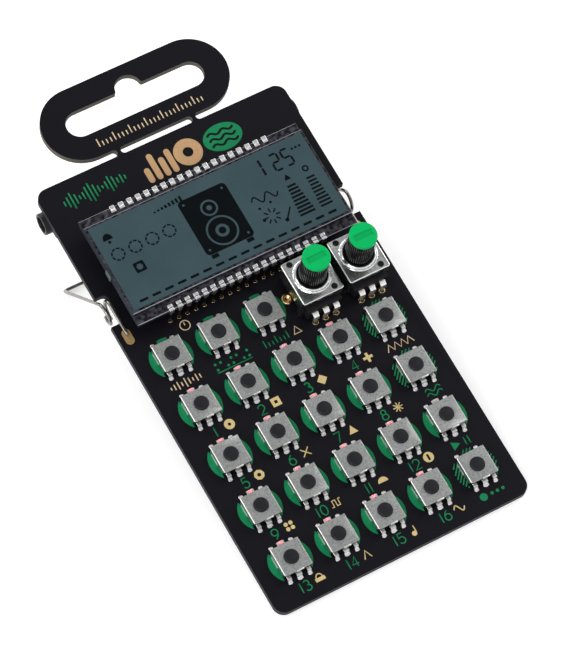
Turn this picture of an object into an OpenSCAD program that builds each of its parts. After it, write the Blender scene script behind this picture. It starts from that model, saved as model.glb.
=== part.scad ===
// Small drum machine on one bare circuit board: 23 keys, two dials, a clip-on display, a sprung
// wire stand, and sockets, cells, speaker and chips on the back. Sizes are in millimetres.
// Everything is drawn on the board's own axes first: X to the right, Y up the board and Z out of
// its front face, from the lower left corner. on_stand() then leans the board back on its stand.

/* [Board] */
// Width of the circuit board
board_w = 60; // [58:0.5:68]
// Height of the circuit board without its hang tab
board_h = 106; // [105.5:0.5:112]
// Thickness of the circuit board
board_t = 1.6; // [1:0.2:2.4]
// Radius of the board's corners
corner_r = 2.5; // [0.5:0.5:5]
// Gap all round a pin or lug in its hole in the board
hole_gap = 0.15; // [0.1:0.05:0.25]
// Outer diameter of the plated eyelet
eyelet_d = 2; // [1.6:0.1:2.4]

/* [Hang tab] */
// Width of the break-off hang tab
tab_w = 44; // [40:1:54]
// Height of the hang tab
tab_h = 17.4; // [15:0.2:22]
// Length of the hang slot
slot_w = 33; // [24:1:35]
// Height of the hang slot
slot_h = 6.2; // [5:0.2:7.2]
// Radius of the peg notch above the hang slot
peg_r = 3; // [2:0.25:3.5]
// Height of the slits between the tab and the board
slit_h = 1.7; // [1.2:0.1:3]
// Width of each break-off bridge
bridge_w = 0.9; // [0.6:0.1:2]
// Distance between the two break-off bridges
bridge_pitch = 18.2; // [12:0.2:22]

/* [Keys] */
// Distance between two columns of keys
key_pitch_x = 11.05; // [10.8:0.05:11.5]
// Height of the lowest row of keys above the board's bottom edge
key_margin = 9.5; // [8:0.1:9.9]
// Width of a key's steel cover
key_w = 6.5; // [6:0.1:7]
// Height of a key's steel cover above the board
key_h = 2.3; // [2.2:0.1:3.2]
// Diameter of a key's button
button_d = 3.1; // [2.6:0.1:3.8]
// Height of a released button above its cover
button_rise = 0.45; // [0.4:0.05:0.9]
// Travel of a button
button_travel = 0.25; // [0.15:0.05:0.35]
// Thickness of the keys' steel covers
key_sheet = 0.25; // [0.2:0.05:0.3]
// Width of a key's solder legs
key_leg_w = 0.9; // [0.6:0.1:1.2]

/* [Display] */
// Width of both display glasses
glass_w = 52.4; // [48:0.2:53]
// Height of the rear glass, which the pins grip
glass_h = 26.4; // [25:0.2:27]
// Height of the front glass
front_glass_h = 21.9; // [18:0.1:22.3]
// Thickness of each display glass
glass_t = 1.1; // [0.7:0.1:1.5]
// Thickness of the films on the display's front and back
film_t = 0.2; // [0.1:0.05:0.3]
// Border of bare front glass round the front film
film_border = 0.6; // [0.3:0.1:1.5]
// Height of the display's back above the board
display_rise = 4; // [3:0.25:6]
// Distance from the board's top edge to the middle of the display
display_drop = 25.4; // [25:0.1:26]
// Number of display pins along each edge
pin_count = 19; // [15:1:19]
// Distance between two display pins
pin_pitch = 2.03; // [1.8:0.01:2.1]
// Width of a display pin's clip
pin_w = 1.1; // [0.7:0.1:1.3]

/* [Dials] */
// Distance from the board's top edge to the dials' shafts
dial_drop = 45.4; // [45.2:0.1:46]
// Distance from the board's right edge to the right dial's shaft
dial_side = 7.6; // [6.5:0.1:8.5]
// Distance between the two dials
dial_pitch = 11.2; // [10.8:0.1:11.6]
// Height of the dials' shafts above the top row of keys
dial_lift = 0.7; // [0:0.1:2]
// Width of a dial's steel cover
dial_w = 9.7; // [9.2:0.1:10.2]
// Height of a dial's steel cover above the board
dial_cover_h = 6.7; // [6.2:0.1:8]
// Thickness of a dial's steel cover
dial_sheet = 0.4; // [0.3:0.05:0.5]
// Diameter of a dial's splined shaft
shaft_d = 5.9; // [5.4:0.1:6.2]
// Number of splines round a shaft
spline_count = 40; // [18:1:48]
// Height of a dial's cap above the board
dial_h = 15.8; // [13.5:0.1:20]
// Thickness of a dial's cap
cap_t = 0.9; // [0.7:0.1:1.6]
// Length of the recessed bar in a cap's top
cap_bar_l = 4.2; // [3.4:0.1:4.6]
// Width of the recessed bar in a cap's top
cap_bar_w = 1.4; // [0.8:0.1:2]
// Running gap between a shaft and its bearings
shaft_gap = 0.05; // [0.02:0.01:0.08]

/* [Stand] */
// Diameter of the stand's wire
wire_d = 0.75; // [0.6:0.05:0.9]
// Radius of the stand's coils, to the middle of the wire
coil_r = 2.4; // [2:0.1:2.8]
// Distance from the board's side edges to the stand's fixed arms
arm_in = 2.1; // [2.05:0.05:2.6]
// Length of the stand's legs
leg_l = 24.5; // [22:0.1:25]
// Angle between the open stand and the board
stand_angle = 55.7; // [48:0.1:62]
// Radius of the bends between the legs and the foot bar
foot_bend = 0.9; // [0.8:0.1:3]
// Distance from the board's top edge to the axis of the coils
coil_drop = 30.5; // [30:0.1:31.5]

/* [Sockets] */
// Diameter of the plug that a socket takes
plug_d = 3.5; // [2.5:0.1:3.6]
// Gap all round a plug in its socket
plug_gap = 0.05; // [0.03:0.01:0.08]
// Length of a socket's body
jack_l = 12; // [10:0.5:15]
// Width of a socket's body
jack_w = 6.4; // [6:0.1:7]
// Height of a socket's body behind the board
jack_h = 5; // [5:0.1:5.6]
// Length of a socket's round collar past the board's edge
collar_out = 0.9; // [0.5:0.1:2]
// Distance from the board's top edge to a socket's axis
jack_drop = 5.4; // [4:0.1:6]

/* [Cells] */
// Diameter of a cell
cell_d = 10.5; // [10:0.1:10.6]
// Length of a cell with its button
cell_l = 44.5; // [43:0.1:46]
// Distance between the two cells
cell_pitch = 11.6; // [11.5:0.1:12]
// Thickness of the cell clips' spring steel
clip_t = 0.4; // [0.3:0.05:0.5]
// Width of a cell clip's arms
clip_w = 5; // [3:0.5:8]

/* [Speaker and chips] */
// Diameter of the speaker
speaker_d = 23; // [18:0.5:26]
// Thickness of the speaker
speaker_t = 3.2; // [2.8:0.1:4]
// Distance from the dials' shafts down to the speaker's middle
speaker_drop = 22.6; // [20.6:0.1:23.6]
// Width of the processor
processor_w = 10; // [7:0.5:12]
// Thickness of the processor
processor_t = 1.4; // [1:0.1:1.8]
// Width of the sound converter
converter_w = 6; // [4:0.5:7]

/* [Hidden] */
$fn = 48;
// Each button's node name, column and row, counted from the lower left key
BUTTONS = [
    ["button_step_01", 0, 3], ["button_step_02", 1, 3], ["button_step_03", 2, 3], ["button_step_04", 3, 3],
    ["button_step_05", 0, 2], ["button_step_06", 1, 2], ["button_step_07", 2, 2], ["button_step_08", 3, 2],
    ["button_step_09", 0, 1], ["button_step_10", 1, 1], ["button_step_11", 2, 1], ["button_step_12", 3, 1],
    ["button_step_13", 0, 0], ["button_step_14", 1, 0], ["button_step_15", 2, 0], ["button_step_16", 3, 0],
    ["button_sound", 0, 4], ["button_pattern", 1, 4], ["button_tempo", 2, 4],
    ["button_function", 4, 3], ["button_effect", 4, 2], ["button_play", 4, 1], ["button_write", 4, 0]
];

// Room that a cut runs past a face
cut = 1;
mid_x = board_w / 2;
back_z = -board_t;
sides = [-1, 1];

// Hang tab
tab_y = board_h + slit_h + tab_h / 2;
tab_top = tab_y + tab_h / 2;
slit_y = board_h + slit_h / 2;
peg_fillet = 0.4;

// Plating
plate_t = 0.05;
plate_gap = 0.02;
sleeve_wall = 0.15;
flange_w = 0.25;

// Keys, in rows spread evenly between the board's bottom edge and the dials
dial_y = board_h - dial_drop;
key_pitch_y = (dial_y - dial_lift - key_margin) / 4;
key_x0 = mid_x - 2 * key_pitch_x;
key_under = key_h - key_sheet;
key_base_w = key_w - 2 * key_sheet - 0.1;
flange_r = button_d / 2 + 0.35;
button_flange_t = 0.5;
button_flange_z = key_under - 0.05 - button_flange_t;
dome_z = 0.5;
dome_t = 0.08;
dome_r = flange_r - 0.05;
dome_h = button_flange_z - button_travel - 0.05 - dome_z;
button_gap = 0.08;
leg_t = 0.2;
leg_x = key_w / 2 - key_leg_w / 2 - 0.5;
light_y = key_w / 2 + 0.85;

// Display
display_y = board_h - display_drop;
rear_glass_z = display_rise + film_t;
front_glass_z = rear_glass_z + glass_t;
front_film_z = front_glass_z + glass_t;
pin_t = 0.25;
pin_grip = 1.25;
pin_leg_w = 0.5;
pin_tail = 0.6;
pin_y = glass_h / 2 + 0.02 + pin_t / 2;
pin_hole_d = pin_leg_w + 2 * hole_gap;

// Dials
dial_x = [board_w - dial_side - dial_pitch, board_w - dial_side];
dial_front = 5.3;
dial_rear = 5.1;
vent_d = 1.4;
collar_d = shaft_d + 0.65;
ring_rise = 0.75;
dial_under = dial_cover_h - dial_sheet;
dial_base_z = 0.6;
rotor_r = 3.8;
rotor_z = dial_under - 1.3;
rotor_t = 0.8;
track_t = 0.25;
track_z = rotor_z - 0.6;
pivot_r = 0.9;
pivot_l = 1.6;
cap_stem_r = 1.25;
cap_stem_l = 3;
cap_z = dial_h - cap_t;
terminal_pitch = 2.5;
terminal_w = 1.3;
terminal_t = 0.35;
terminal_z = 3.3;
terminal_y = 7.3;
terminal_pin_w = 0.7;
block_y = 6.3;
lug_y = -4.1;
lug_w = 1;
lug_tail = 0.7;

// Stand: each coil is split at its back, so its leg's end turns beside its arm's end
arm_z = wire_d / 2 + plate_t + 0.02;
arm_x = arm_in;
coil_y = board_h - coil_drop;
coil_z = arm_z - coil_r;
coil_gap = 0.06;
coil_lean = 0.1;
fixed_turn = 200;
loose_turn = 170;
loose_x = arm_x - coil_lean - wire_d - coil_gap;
bail_x = 0.4;
notch_w = arm_x + wire_d / 2 + 0.15;
notch_up = coil_r + wire_d / 2 + 0.5;
notch_down = notch_up + 0.7;
notch_r = 1.2;
anchor_w = wire_d + 0.35;
anchor_h = 2.9;
anchor_y = coil_y - 7.45;
hook_y = anchor_y + 0.5;
hook_bend = 0.6;
hook_tail = 0.5;
foot_y = coil_y + coil_r * sin(stand_angle) + leg_l * cos(stand_angle);
foot_z = coil_z + coil_r * cos(stand_angle) - leg_l * sin(stand_angle);

// Slope on which the board's bottom edge and the foot bar both touch the table
foot_drop = back_z - foot_z;
slope = atan(foot_drop / foot_y) + asin(wire_d / 2 / norm([foot_y, foot_drop]));
rest_z = board_t * cos(slope);
rest_y = (tab_top * cos(slope) + board_t * sin(slope)) / 2;

// Sockets
jack_y = board_h - jack_drop;
jack_z = back_z - jack_h / 2;
jack_x = 1.1;
collar_r = 2.45;
bore_r = plug_d / 2 + plug_gap;
bore_l = jack_l - 1 + jack_x + collar_out;

// Cells
cell_mid_y = coil_y + 8.5;
cell_z = back_z - clip_t - cell_d / 2 - 0.15;
cell_button_d = 3.8;
cell_button_l = 0.8;
clip_gap = 0.05;
clip_r = cell_d / 2 + clip_gap;
clip_inset = 0.8;
clip_open = 2;

// Speaker, processor, converter and small parts
speaker_y = dial_y - speaker_drop;
chip_y = (speaker_y + speaker_d / 2 + cell_mid_y - cell_pitch / 2 - clip_r - clip_t) / 2;
processor_x = mid_x - 10;
converter_x = dial_x[0] + 0.8;
crystal_x = mid_x + 2;
chip_leads = 12;
lead_pitch = processor_w / (chip_leads + 3);
lead_w = lead_pitch / 2;
lead_out = 0.9;
small_size = [1.6, 0.8, 0.6];
small_pitch = small_size[0] + 0.8;
tall_size = [3.5, 2.8, 1.9];

// ---------- shared shapes ----------

module on_stand() {
    translate([-mid_x, -rest_y, rest_z]) rotate([slope, 0, 0]) children();
}

// Copies on the left and right sides of the board
module both_sides() {
    children();
    translate([board_w, 0, 0]) mirror([1, 0, 0]) children();
}

module at_key(column, row) {
    translate([key_x0 + column * key_pitch_x, key_margin + row * key_pitch_y, 0]) children();
}

module at_keys() {
    for (b = BUTTONS) at_key(b[1], b[2]) children();
}

module at_dials() {
    for (x = dial_x) translate([x, dial_y, 0]) children();
}

module rounded_plate(w, h, r) {
    square([w - 2 * r, h], center = true);
    square([w, h - 2 * r], center = true);
    for (x = sides, y = sides) translate([x * (w / 2 - r), y * (h / 2 - r)]) circle(r);
}

module stadium(w, h) {
    if (w > h) square([w - h, h], center = true);
    for (x = sides) translate([x * (w - h) / 2, 0]) circle(d = h);
}

// A block from its lowest corner to its highest
module block(low, high) {
    translate(low) cube(high - low);
}

// A strip of sheet whose side view is drawn in Y and Z, centred on X
module strip(w, outline) {
    rotate([90, 0, 90]) translate([0, 0, -w / 2]) linear_extrude(w) polygon(outline);
}

module along_x(r, l) {
    rotate([0, 90, 0]) cylinder(r = r, h = l);
}

// ---------- circuit board ----------

module hang_slot() {
    stadium(slot_w, slot_h);
    translate([0, slot_h / 2]) {
        circle(peg_r);
        for (side = sides) scale([side, 1]) difference() {
            translate([peg_r - 0.1, -0.1]) square(peg_fillet + 0.1);
            translate([peg_r + peg_fillet, peg_fillet]) circle(peg_fillet);
        }
    }
}

module tab_outline() {
    neck_w = bridge_pitch + bridge_w + slit_h;
    difference() {
        union() {
            translate([0, tab_y]) stadium(tab_w, tab_h);
            translate([0, slit_y]) square([neck_w, slit_h + 2 * cut], center = true);
        }
        translate([0, slit_y]) {
            stadium(bridge_pitch - bridge_w, slit_h);
            for (side = sides) translate([side * neck_w / 2, 0]) circle(d = slit_h);
        }
        translate([0, tab_y]) hang_slot();
    }
}

// The coils' notch and the wire's anchor slot at the board's left edge
module stand_cuts() {
    translate([0, coil_y + (notch_up - notch_down) / 2])
        rounded_plate(2 * notch_w, notch_up + notch_down, notch_r);
    translate([arm_x, anchor_y]) rotate(90) stadium(anchor_h + 2 * sleeve_wall, anchor_w + 2 * sleeve_wall);
}

module dial_cuts() {
    for (x = dial_x) translate([x, dial_y]) {
        for (i = [-1:1]) translate([i * terminal_pitch, -terminal_y])
            circle(d = terminal_pin_w + 2 * hole_gap);
        for (side = sides) translate([side * (dial_w - dial_sheet) / 2, lug_y])
            square([dial_sheet + 2 * hole_gap, lug_w + 2 * hole_gap], center = true);
    }
}

module display_cuts() {
    for (i = [0:pin_count - 1], side = sides)
        translate([pin_x(i), display_y + side * pin_y]) circle(d = pin_hole_d);
}

function pin_x(i) = mid_x + (i - (pin_count - 1) / 2) * pin_pitch;
function eyelet_at() = [dial_x[0] - dial_w / 2 - 0.4, dial_y];

module circuit_board() {
    color("#17151c") on_stand() translate([0, 0, back_z]) linear_extrude(board_t) difference() {
        union() {
            translate([mid_x, board_h / 2]) rounded_plate(board_w, board_h, corner_r);
            translate([mid_x, 0]) tab_outline();
        }
        stand_cuts();
        translate([board_w, 0]) mirror([1, 0]) stand_cuts();
        dial_cuts();
        display_cuts();
        translate(eyelet_at()) circle(d = eyelet_d - 2 * flange_w);
    }
}

// One flanged sleeve through the board, drawn from a round or oblong opening
module sleeve(w, h) {
    for (z = [0, back_z - plate_t]) translate([0, 0, z]) linear_extrude(plate_t) difference() {
        stadium(w + 2 * flange_w, h + 2 * flange_w);
        stadium(w - 2 * sleeve_wall, h - 2 * sleeve_wall);
    }
    translate([0, 0, back_z]) linear_extrude(board_t) difference() {
        stadium(w - 2 * plate_gap, h - 2 * plate_gap);
        stadium(w - 2 * sleeve_wall, h - 2 * sleeve_wall);
    }
}

module plated_sleeves() {
    eyelet_hole = eyelet_d - 2 * flange_w;
    color("#c9a24a") on_stand() {
        both_sides() translate([arm_x, anchor_y, 0]) rotate(90)
            sleeve(anchor_h + 2 * sleeve_wall, anchor_w + 2 * sleeve_wall);
        translate(concat(eyelet_at(), 0)) sleeve(eyelet_hole, eyelet_hole);
    }
}

// ---------- keys ----------

module key_base() {
    difference() {
        translate([0, 0, key_under / 2]) cube([key_base_w, key_base_w, key_under], center = true);
        translate([0, 0, dome_z]) cylinder(r = flange_r + 0.1, h = key_under);
    }
}

module key_bases() {
    color("#1b1c20") on_stand() at_keys() key_base();
}

module key_cover() {
    wall_x = key_w / 2 - key_sheet;
    wall_y = key_w / 2 - 0.6;
    wall_z = 0.7;
    translate([0, 0, key_under]) linear_extrude(key_sheet) difference() {
        rounded_plate(key_w, key_w, 0.3);
        circle(d = button_d + 2 * button_gap);
    }
    for (side = sides) scale([side, 1, 1])
        block([wall_x, -wall_y, wall_z], [wall_x + key_sheet, wall_y, key_under]);
    block([-0.5, -key_w / 2, key_under - 0.6], [1.1, -key_w / 2 + key_sheet, key_under]);
}

module key_covers() {
    color("#a9acb0") on_stand() at_keys() key_cover();
}

// A leg that leaves the base, steps down and lies on the board out to the given reach
module key_leg(w, reach) {
    base_y = key_base_w / 2;
    step_y = reach - 0.75;
    strip(w, [
        [base_y, 0.95], [step_y + 0.1, 0.95], [step_y + 0.3, leg_t], [reach, leg_t],
        [reach, 0], [step_y + 0.1, 0], [step_y - 0.1, 0.95 - leg_t], [base_y, 0.95 - leg_t]
    ]);
}

module key_legs() {
    upper_reach = key_w / 2 + 0.95;
    lower_reach = key_w / 2 + 1.25;
    color("#d5d7da") on_stand() at_keys() {
        for (side = sides) translate([side * leg_x, 0, 0]) {
            key_leg(key_leg_w, upper_reach);
            mirror([0, 1, 0]) key_leg(key_leg_w, lower_reach);
        }
        mirror([0, 1, 0]) key_leg(key_leg_w + 0.3, lower_reach);
    }
}

// The sprung contact disc that a button presses down
module key_dome() {
    crown_r = 0.8;
    translate([0, 0, dome_z]) rotate_extrude() polygon([
        [0, dome_h], [crown_r, dome_h], [dome_r, dome_t], [dome_r, 0],
        [dome_r - 0.2, 0], [crown_r, dome_h - dome_t], [0, dome_h - dome_t]
    ]);
}

module key_domes() {
    color("#c8c9cc") on_stand() at_keys() key_dome();
}

module button(column, row) {
    r = button_d / 2;
    top = key_h + button_rise;
    edge = 0.15;
    color("#1d1e22") on_stand() at_key(column, row) rotate_extrude() polygon([
        [0, button_flange_z], [flange_r, button_flange_z], [flange_r, button_flange_z + button_flange_t],
        [r, button_flange_z + button_flange_t], [r, top - edge], [r - edge, top], [0, top]
    ]);
}

// A surface-mounted lamp: a wide carrier under a narrower lens
module key_light() {
    block([-0.8, -0.4, 0], [0.8, 0.4, 0.3]);
    block([-0.55, -0.4, 0.3], [0.55, 0.4, 0.6]);
}

module key_lights() {
    color("#e0607c") on_stand() for (b = BUTTONS)
        if ((b[1] < 4 && b[2] < 4) || b[0] == "button_play") at_key(b[1], b[2])
            translate([0, light_y, 0]) key_light();
}

// ---------- display ----------

module display_slab(w, h, z, t) {
    on_stand() translate([mid_x, display_y, z + t / 2]) cube([w, h, t], center = true);
}

module display_rear_glass() {
    color("#8fa0a6", 0.5) display_slab(glass_w, glass_h, rear_glass_z, glass_t);
}

module display_front_glass() {
    color("#8fa0a6", 0.5) display_slab(glass_w, front_glass_h, front_glass_z, glass_t);
}

module display_rear_film() {
    color("#5c6a6c")
        display_slab(glass_w - 2 * film_border, front_glass_h - 2 * film_border, display_rise, film_t);
}

module display_front_film() {
    color("#46565c")
        display_slab(glass_w - 2 * film_border, front_glass_h - 2 * film_border, front_film_z, film_t);
}

// A pin that grips the rear glass's upper edge between two fingers and stands in the board
module display_pin() {
    edge_y = glass_h / 2;
    web_y = pin_y - pin_t / 2;
    half = pin_w / 2;
    block([-half, edge_y - pin_grip, front_glass_z], [half, web_y + pin_t, front_glass_z + pin_t]);
    block([-half, web_y, rear_glass_z - pin_t], [half, web_y + pin_t, front_glass_z]);
    block([-half, edge_y - pin_grip / 2, rear_glass_z - pin_t], [half, web_y, rear_glass_z]);
    block([-pin_leg_w / 2, web_y, back_z - pin_tail], [pin_leg_w / 2, web_y + pin_t, rear_glass_z - pin_t]);
}

module display_pins() {
    color("#d9dbde") on_stand() for (i = [0:pin_count - 1]) translate([pin_x(i), display_y, 0]) {
        display_pin();
        mirror([0, 1, 0]) display_pin();
    }
}

// ---------- dials ----------

module dial_base() {
    half = dial_w / 2 - dial_sheet - 0.1;
    foot = 1.4;
    difference() {
        union() {
            block([-half, -dial_front + 0.4, dial_base_z], [half, dial_rear - 0.3, dial_under]);
            block([-half + 0.3, -block_y, 0.9], [half - 0.3, -dial_front + 0.4, terminal_z + 0.7]);
            block([2.9, -dial_front - 0.4, dial_under - 1.1],
                  [half - 0.1, -dial_front + 0.4, dial_under - 0.2]);
            for (x = sides, y = sides)
                translate([x * (half - foot / 2), y * 3.4, dial_base_z / 2])
                    cube([foot, foot, dial_base_z], center = true);
        }
        translate([0, 0, track_z]) cylinder(r = rotor_r + 0.2, h = dial_under);
        translate([0, 0, rotor_z - pivot_l - 0.1]) cylinder(r = pivot_r + shaft_gap, h = dial_under);
    }
}

module dial_bases() {
    color("#202024") on_stand() at_dials() dial_base();
}

// Sheet cover: a drawn ring round the shaft, two bent sides with lugs and a bent tab at the front
module dial_cover() {
    bore_r = collar_d / 2 + shaft_gap;
    half = dial_w / 2;
    wall_z = 2.4;
    translate([0, 0, dial_under]) linear_extrude(dial_sheet) difference() {
        translate([0, (dial_rear - dial_front) / 2]) rounded_plate(dial_w, dial_front + dial_rear, 0.5);
        circle(bore_r + 0.2);
        for (side = sides) translate([-side * 3.05, side * 4.2]) circle(d = vent_d);
    }
    rotate_extrude() polygon([
        [bore_r, dial_under], [bore_r + 0.85, dial_under], [bore_r + 0.85, dial_cover_h],
        [bore_r + 0.6, dial_cover_h + 0.12], [bore_r + 0.48, dial_cover_h + 0.4],
        [bore_r + 0.42, dial_cover_h + ring_rise - 0.15], [bore_r + 0.27, dial_cover_h + ring_rise],
        [bore_r + 0.1, dial_cover_h + ring_rise], [bore_r, dial_cover_h + ring_rise - 0.1]
    ]);
    for (side = sides) scale([side, 1, 1]) {
        block([half - dial_sheet, 0.7 - dial_front, wall_z], [half, dial_rear - 0.7, dial_under]);
        block([half - dial_sheet, lug_y - lug_w / 2, back_z - lug_tail], [half, lug_y + lug_w / 2, wall_z]);
    }
    block([-1.6, -dial_front, dial_under - 0.7], [2.7, 0.3 - dial_front, dial_under]);
}

module dial_covers() {
    color("#c9cbcd") on_stand() at_dials() dial_cover();
}

// A terminal runs out of the base, turns down and passes through the board
module dial_terminal() {
    turn = 0.5;
    strip(terminal_w, [
        [block_y, terminal_z], [terminal_y - turn, terminal_z],
        [terminal_y + terminal_t / 2, terminal_z - turn],
        [terminal_y + terminal_t / 2, 1.2], [terminal_y - terminal_t / 2, 1.2],
        [terminal_y - terminal_t / 2, terminal_z - turn - 0.15],
        [terminal_y - turn - 0.1, terminal_z - terminal_t], [block_y, terminal_z - terminal_t]
    ]);
    block([-terminal_pin_w / 2, terminal_y - terminal_t / 2, back_z - lug_tail],
        [terminal_pin_w / 2, terminal_y + terminal_t / 2, 1.2]);
}

module dial_terminals() {
    color("#d2d4d7") on_stand() at_dials() for (i = [-1:1])
        translate([i * terminal_pitch, 0, 0]) mirror([0, 1, 0]) dial_terminal();
}

module dial_tracks() {
    color("#3a2c22") on_stand() at_dials() translate([0, 0, track_z]) difference() {
        cylinder(r = rotor_r, h = track_t);
        translate([0, 0, -cut]) cylinder(r = pivot_r + 0.4, h = track_t + 2 * cut);
    }
}

module spline_outline() {
    outer = shaft_d / 2;
    inner = outer - 0.2;
    step = 180 / spline_count;
    polygon([for (i = [0:2 * spline_count - 1])
        (i % 2 == 0 ? outer : inner) * [cos(i * step), sin(i * step)]]);
}

// Rotor, bearing collar and splined shaft in one piece, hollow at the top for the cap's stem
module dial_shaft(x) {
    collar_top = dial_cover_h + ring_rise + 0.25;
    color("#1a1b1e") on_stand() translate([x, dial_y, 0]) difference() {
        union() {
            translate([0, 0, rotor_z - pivot_l]) cylinder(r = pivot_r, h = pivot_l);
            translate([0, 0, rotor_z]) cylinder(r = rotor_r, h = rotor_t);
            translate([0, 0, rotor_z + rotor_t]) cylinder(d = collar_d, h = collar_top - rotor_z - rotor_t);
            translate([0, 0, collar_top]) linear_extrude(cap_z - collar_top) spline_outline();
        }
        translate([0, 0, cap_z - cap_stem_l - 0.1]) cylinder(r = cap_stem_r + 0.05, h = cap_stem_l + cut);
    }
}

module dial_shaft_left() {
    dial_shaft(dial_x[0]);
}

module dial_shaft_right() {
    dial_shaft(dial_x[1]);
}

// Push-in cap with a rounded rim and a recessed pointer bar across its top
module dial_cap(x) {
    r = shaft_d / 2 + 0.05;
    rim = 0.25;
    bar_deep = 0.2;
    arc = [for (a = [0:15:90]) [r - rim + rim * cos(a), dial_h - rim + rim * sin(a)]];
    color("#12b864") on_stand() translate([x, dial_y, 0]) difference() {
        rotate_extrude() polygon(concat([
            [0, cap_z - cap_stem_l], [cap_stem_r, cap_z - cap_stem_l], [cap_stem_r, cap_z], [r, cap_z]
        ], arc, [[0, dial_h]]));
        translate([0, 0, dial_h]) cube([cap_bar_l, cap_bar_w, 2 * bar_deep], center = true);
    }
}

module dial_cap_left() {
    dial_cap(dial_x[0]);
}

module dial_cap_right() {
    dial_cap(dial_x[1]);
}

// Sprung bronze ring under the rotor, with two brushes that ride on the track
module dial_wiper(x) {
    ring_t = 0.12;
    brush_z = track_z + track_t + 0.02;
    color("#b98a4a") on_stand() translate([x, dial_y, 0]) {
        translate([0, 0, rotor_z - ring_t]) difference() {
            cylinder(r = rotor_r - 0.4, h = ring_t);
            translate([0, 0, -cut]) cylinder(r = pivot_r + 0.4, h = 2 * cut);
        }
        for (side = sides) translate([side * 2.4 - 0.25, -0.25, brush_z])
            cube([0.5, 0.5, rotor_z - ring_t - brush_z]);
    }
}

module dial_wiper_left() {
    dial_wiper(dial_x[0]);
}

module dial_wiper_right() {
    dial_wiper(dial_x[1]);
}

// ---------- stand ----------

// A point on the coils' circle, and its outward direction, at an angle from the arm's tangent
function coil_dir(a) = [0, sin(a), cos(a)];
function coil_point(x, a) = [x, coil_y, coil_z] + coil_r * coil_dir(a);

function unit(v) = v / norm(v);

// A round tube through the points, with one sideways direction for each point
module tube(points, sideways, facets = 16) {
    n = len(points);
    rings = [for (i = [0:n - 1])
        let (
            t = unit(points[min(i + 1, n - 1)] - points[max(i - 1, 0)]),
            u = unit(sideways[i] - (sideways[i] * t) * t),
            v = cross(u, t)
        )
        for (j = [0:facets - 1])
            points[i] + wire_d / 2 * (cos(360 * j / facets) * u + sin(360 * j / facets) * v)];
    polyhedron(rings, concat(
        [[for (j = [facets - 1:-1:0]) j]],
        [for (i = [0:n - 2], j = [0:facets - 1])
            let (k = (j + 1) % facets)
            [i * facets + j, i * facets + k, (i + 1) * facets + k, (i + 1) * facets + j]],
        [[for (j = [0:facets - 1]) (n - 1) * facets + j]]
    ), convexity = 6);
}

// The bail's left side: round the coil's axis, down the leg and into the foot bar
loose_end = 360 + stand_angle;
loose_angles = [for (i = [0:24]) loose_turn + (loose_end - loose_turn) * i / 24];
loose_points = [for (i = [0:24])
    coil_point(bail_x + (loose_x - bail_x) * (1 + cos(180 * i / 24)) / 2, loose_angles[i])];
leg_dir = [0, cos(stand_angle), -sin(stand_angle)];
bend_start = coil_point(bail_x, stand_angle) + (leg_l - foot_bend) * leg_dir;
bend_points = [for (a = [0:15:90]) bend_start + foot_bend * ([1 - cos(a), 0, 0] + sin(a) * leg_dir)];
bail_points = concat(loose_points, bend_points);
bail_sideways = concat([for (a = loose_angles) coil_dir(a)], [for (p = bend_points) coil_dir(stand_angle)]);
last_point = len(bail_points) - 1;

module stand_bail() {
    mirrored = [for (i = [last_point:-1:0])
        [board_w - bail_points[i][0], bail_points[i][1], bail_points[i][2]]];
    color("#b9bbbd") on_stand() tube(
        concat(bail_points, mirrored),
        concat(bail_sideways, [for (i = [last_point:-1:0]) bail_sideways[i]])
    );
}

// The fixed wire: up through the anchor slot, along the board and round the coil's axis
spring_points = concat(
    [[arm_x, hook_y, back_z - hook_tail]],
    [for (a = [0:18:90]) [arm_x, hook_y + hook_bend * (1 - cos(a)), arm_z - hook_bend * (1 - sin(a))]],
    [for (i = [0:16]) coil_point(arm_x - coil_lean * i / 16, fixed_turn * i / 16)]
);

module stand_springs() {
    color("#c4c6c8") on_stand() both_sides() tube(spring_points, [for (p = spring_points) [1, 0, 0]]);
}

// ---------- sockets ----------

module socket() {
    translate([0, jack_y, jack_z]) difference() {
        union() {
            translate([jack_x, 0, 0]) block([0, -jack_w / 2, -jack_h / 2], [jack_l, jack_w / 2, jack_h / 2]);
            translate([-collar_out, 0, 0]) along_x(collar_r, jack_x + collar_out + cut);
        }
        translate([-collar_out - cut, 0, 0]) along_x(bore_r, bore_l + cut);
    }
}

module socket_left() {
    color("#17171a") on_stand() socket();
}

module socket_right() {
    color("#17171a") on_stand() translate([board_w, 0, 0]) mirror([1, 0, 0]) socket();
}

// Solder tabs on both sides of each socket
module socket_contacts() {
    tab_l = 1.6;
    tab_t = 0.25;
    color("#cfd1d4") on_stand() both_sides() for (x = [2.2, 6, 9.4], side = sides)
        translate([jack_x + x - tab_l / 2, jack_y, back_z]) scale([1, side, 1])
            block([0, jack_w / 2, -tab_t], [tab_l, jack_w / 2 + 1.1, 0]);
}

// ---------- cells ----------

// A cell whose button points along +X
module cell() {
    body_l = cell_l - cell_button_l;
    translate([-cell_l / 2, 0, 0]) {
        along_x(cell_d / 2, body_l);
        along_x(cell_button_d / 2, cell_l);
    }
}

module cell_upper() {
    color("#3c4147") on_stand() translate([mid_x, cell_mid_y + cell_pitch / 2, cell_z]) cell();
}

module cell_lower() {
    color("#3c4147") on_stand() translate([mid_x, cell_mid_y - cell_pitch / 2, cell_z])
        mirror([1, 0, 0]) cell();
}

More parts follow.
